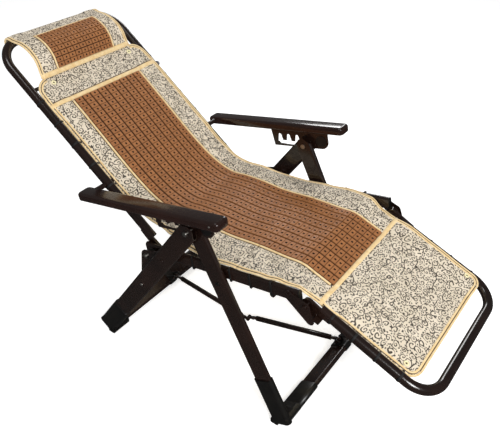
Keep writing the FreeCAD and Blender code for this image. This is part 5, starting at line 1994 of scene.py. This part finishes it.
@dataclass
class Studio:
    """The camera, the soft lamps and the pale floor."""

    # The photograph's camera: its place, its turn and tilt, and its lens in millimetres
    camera_at: tuple[float, float, float] = (0.96324, -1.2526, 1.6022)
    azimuth: float = 36.23
    elevation: float = 35.93
    lens: float = 44.14
    # What the lamps look at
    target: tuple[float, float, float] = (0, 0, 0.45)
    lamps: tuple[Lamp, ...] = (
        Lamp("key_lamp", (2.7, -1.7, 2.4), 1.2, 104.0),
        Lamp("top_lamp", (-0.6, -0.9, 3.4), 1.0, 14.0),
        Lamp("rim_lamp", (-1.6, 2.9, 2.3), 1.1, 34.0))
    # The strength of the light from all round, what the camera sees beyond that, and what mirrors lose
    fill_light: float = 0.42
    seen_more: float = 0.58
    mirrored_less: float = 0.3
    floor_half: float = 6.0
    floor_drop: float = 0.4 * MM
    floor_glow: float = 0.5

    def build(self) -> None:
        """Make the whole studio."""
        self.add_camera()
        self.add_world()
        for lamp in self.lamps:
            self.add_lamp(lamp)
        self.add_floor()

    def add_camera(self) -> None:
        """Put the camera where the photograph was taken from."""
        data = bpy.data.cameras.new("camera")
        data.lens = self.lens
        data.sensor_width = 36.0
        data.clip_end = 60.0
        camera = put_in_scene("camera", data)
        camera.location = self.camera_at
        camera.rotation_euler = (math.radians(90 - self.elevation), 0, math.radians(self.azimuth))
        bpy.context.scene.camera = camera

    def add_world(self) -> None:
        """Light softly from all round, and show white where the camera looks past the object."""
        world = bpy.data.worlds.new("studio")
        world.use_nodes = True
        tree = world.node_tree
        tree.nodes.clear()
        rays = add_node(tree, "ShaderNodeLightPath").outputs
        backdrop = add_node(tree, MATH, (rays["Is Camera Ray"], self.seen_more, self.fill_light),
                            operation="MULTIPLY_ADD")
        strength = add_node(tree, MATH, (rays["Is Glossy Ray"], -self.mirrored_less, backdrop),
                            operation="MULTIPLY_ADD")
        glow = add_node(tree, "ShaderNodeBackground", {"Color": linear("#ffffff"), "Strength": strength})
        add_node(tree, "ShaderNodeOutputWorld", {"Surface": glow})
        bpy.context.scene.world = world
        bpy.context.scene.view_settings.view_transform = "Standard"

    def add_lamp(self, lamp: Lamp) -> None:
        """Add a lamp that looks at the chair's middle.

        Args:
            lamp: What it is and where it stands.
        """
        data = bpy.data.lights.new(lamp.name, "AREA")
        data.size = lamp.size
        data.energy = lamp.power
        light = put_in_scene(lamp.name, data)
        light.location = lamp.place
        aim = Vector(self.target) - Vector(lamp.place)
        light.rotation_euler = aim.to_track_quat("-Z", "Y").to_euler()

    def add_floor(self) -> None:
        """Lay a white floor that fades into the background and keeps a soft shadow."""
        reach = self.floor_half
        corners = [(x, y, -self.floor_drop) for x, y in ((-reach, -reach), (reach, -reach), (reach, reach),
                                                         (-reach, reach))]
        mesh = bpy.data.meshes.new("floor")
        mesh.from_pydata(corners, [], [(0, 1, 2, 3)])
        mesh.materials.append(self.floor_material())
        put_in_scene("floor", mesh)

    def floor_material(self) -> bpy.types.Material:
        """Make the floor's material: pale and faintly glowing, but dim where the object mirrors it.

        Returns:
            The new material.
        """
        material = bpy.data.materials.new("white_floor")
        material.use_nodes = True
        tree = material.node_tree
        tree.nodes.clear()
        pale = add_node(tree, "ShaderNodeBsdfPrincipled", {
            "Base Color": linear("#f6f6f6"), "Roughness": 0.9, "Specular IOR Level": 0.1,
            "Emission Color": linear("#ffffff"), "Emission Strength": self.floor_glow})
        dim = add_node(tree, "ShaderNodeBsdfDiffuse", {"Color": linear("#454545")})
        mirrored = add_node(tree, "ShaderNodeLightPath").outputs["Is Glossy Ray"]
        mix = add_node(tree, "ShaderNodeMixShader", (mirrored, pale, dim))
        add_node(tree, "ShaderNodeOutputMaterial", {"Surface": mix})
        return material


def main() -> None:
    """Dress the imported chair, build its mat and light it."""
    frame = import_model()
    rig = Rig(frame)
    Studio().build()
    Frame(frame["nodes"]).build()
    tiles = TileMaker()
    mat = Mat(rig)
    mat.build(tiles)
    HeadPad(rig).build(tiles)
    Loops(rig, mat).build()
    Armrests(rig).build()
    FloorParts(rig).build()
    Fasteners(rig, mat, tiles).build()
    tiles.clear()
    LOG.info("the scene is whole")


if __name__ == "__main__":
    main()
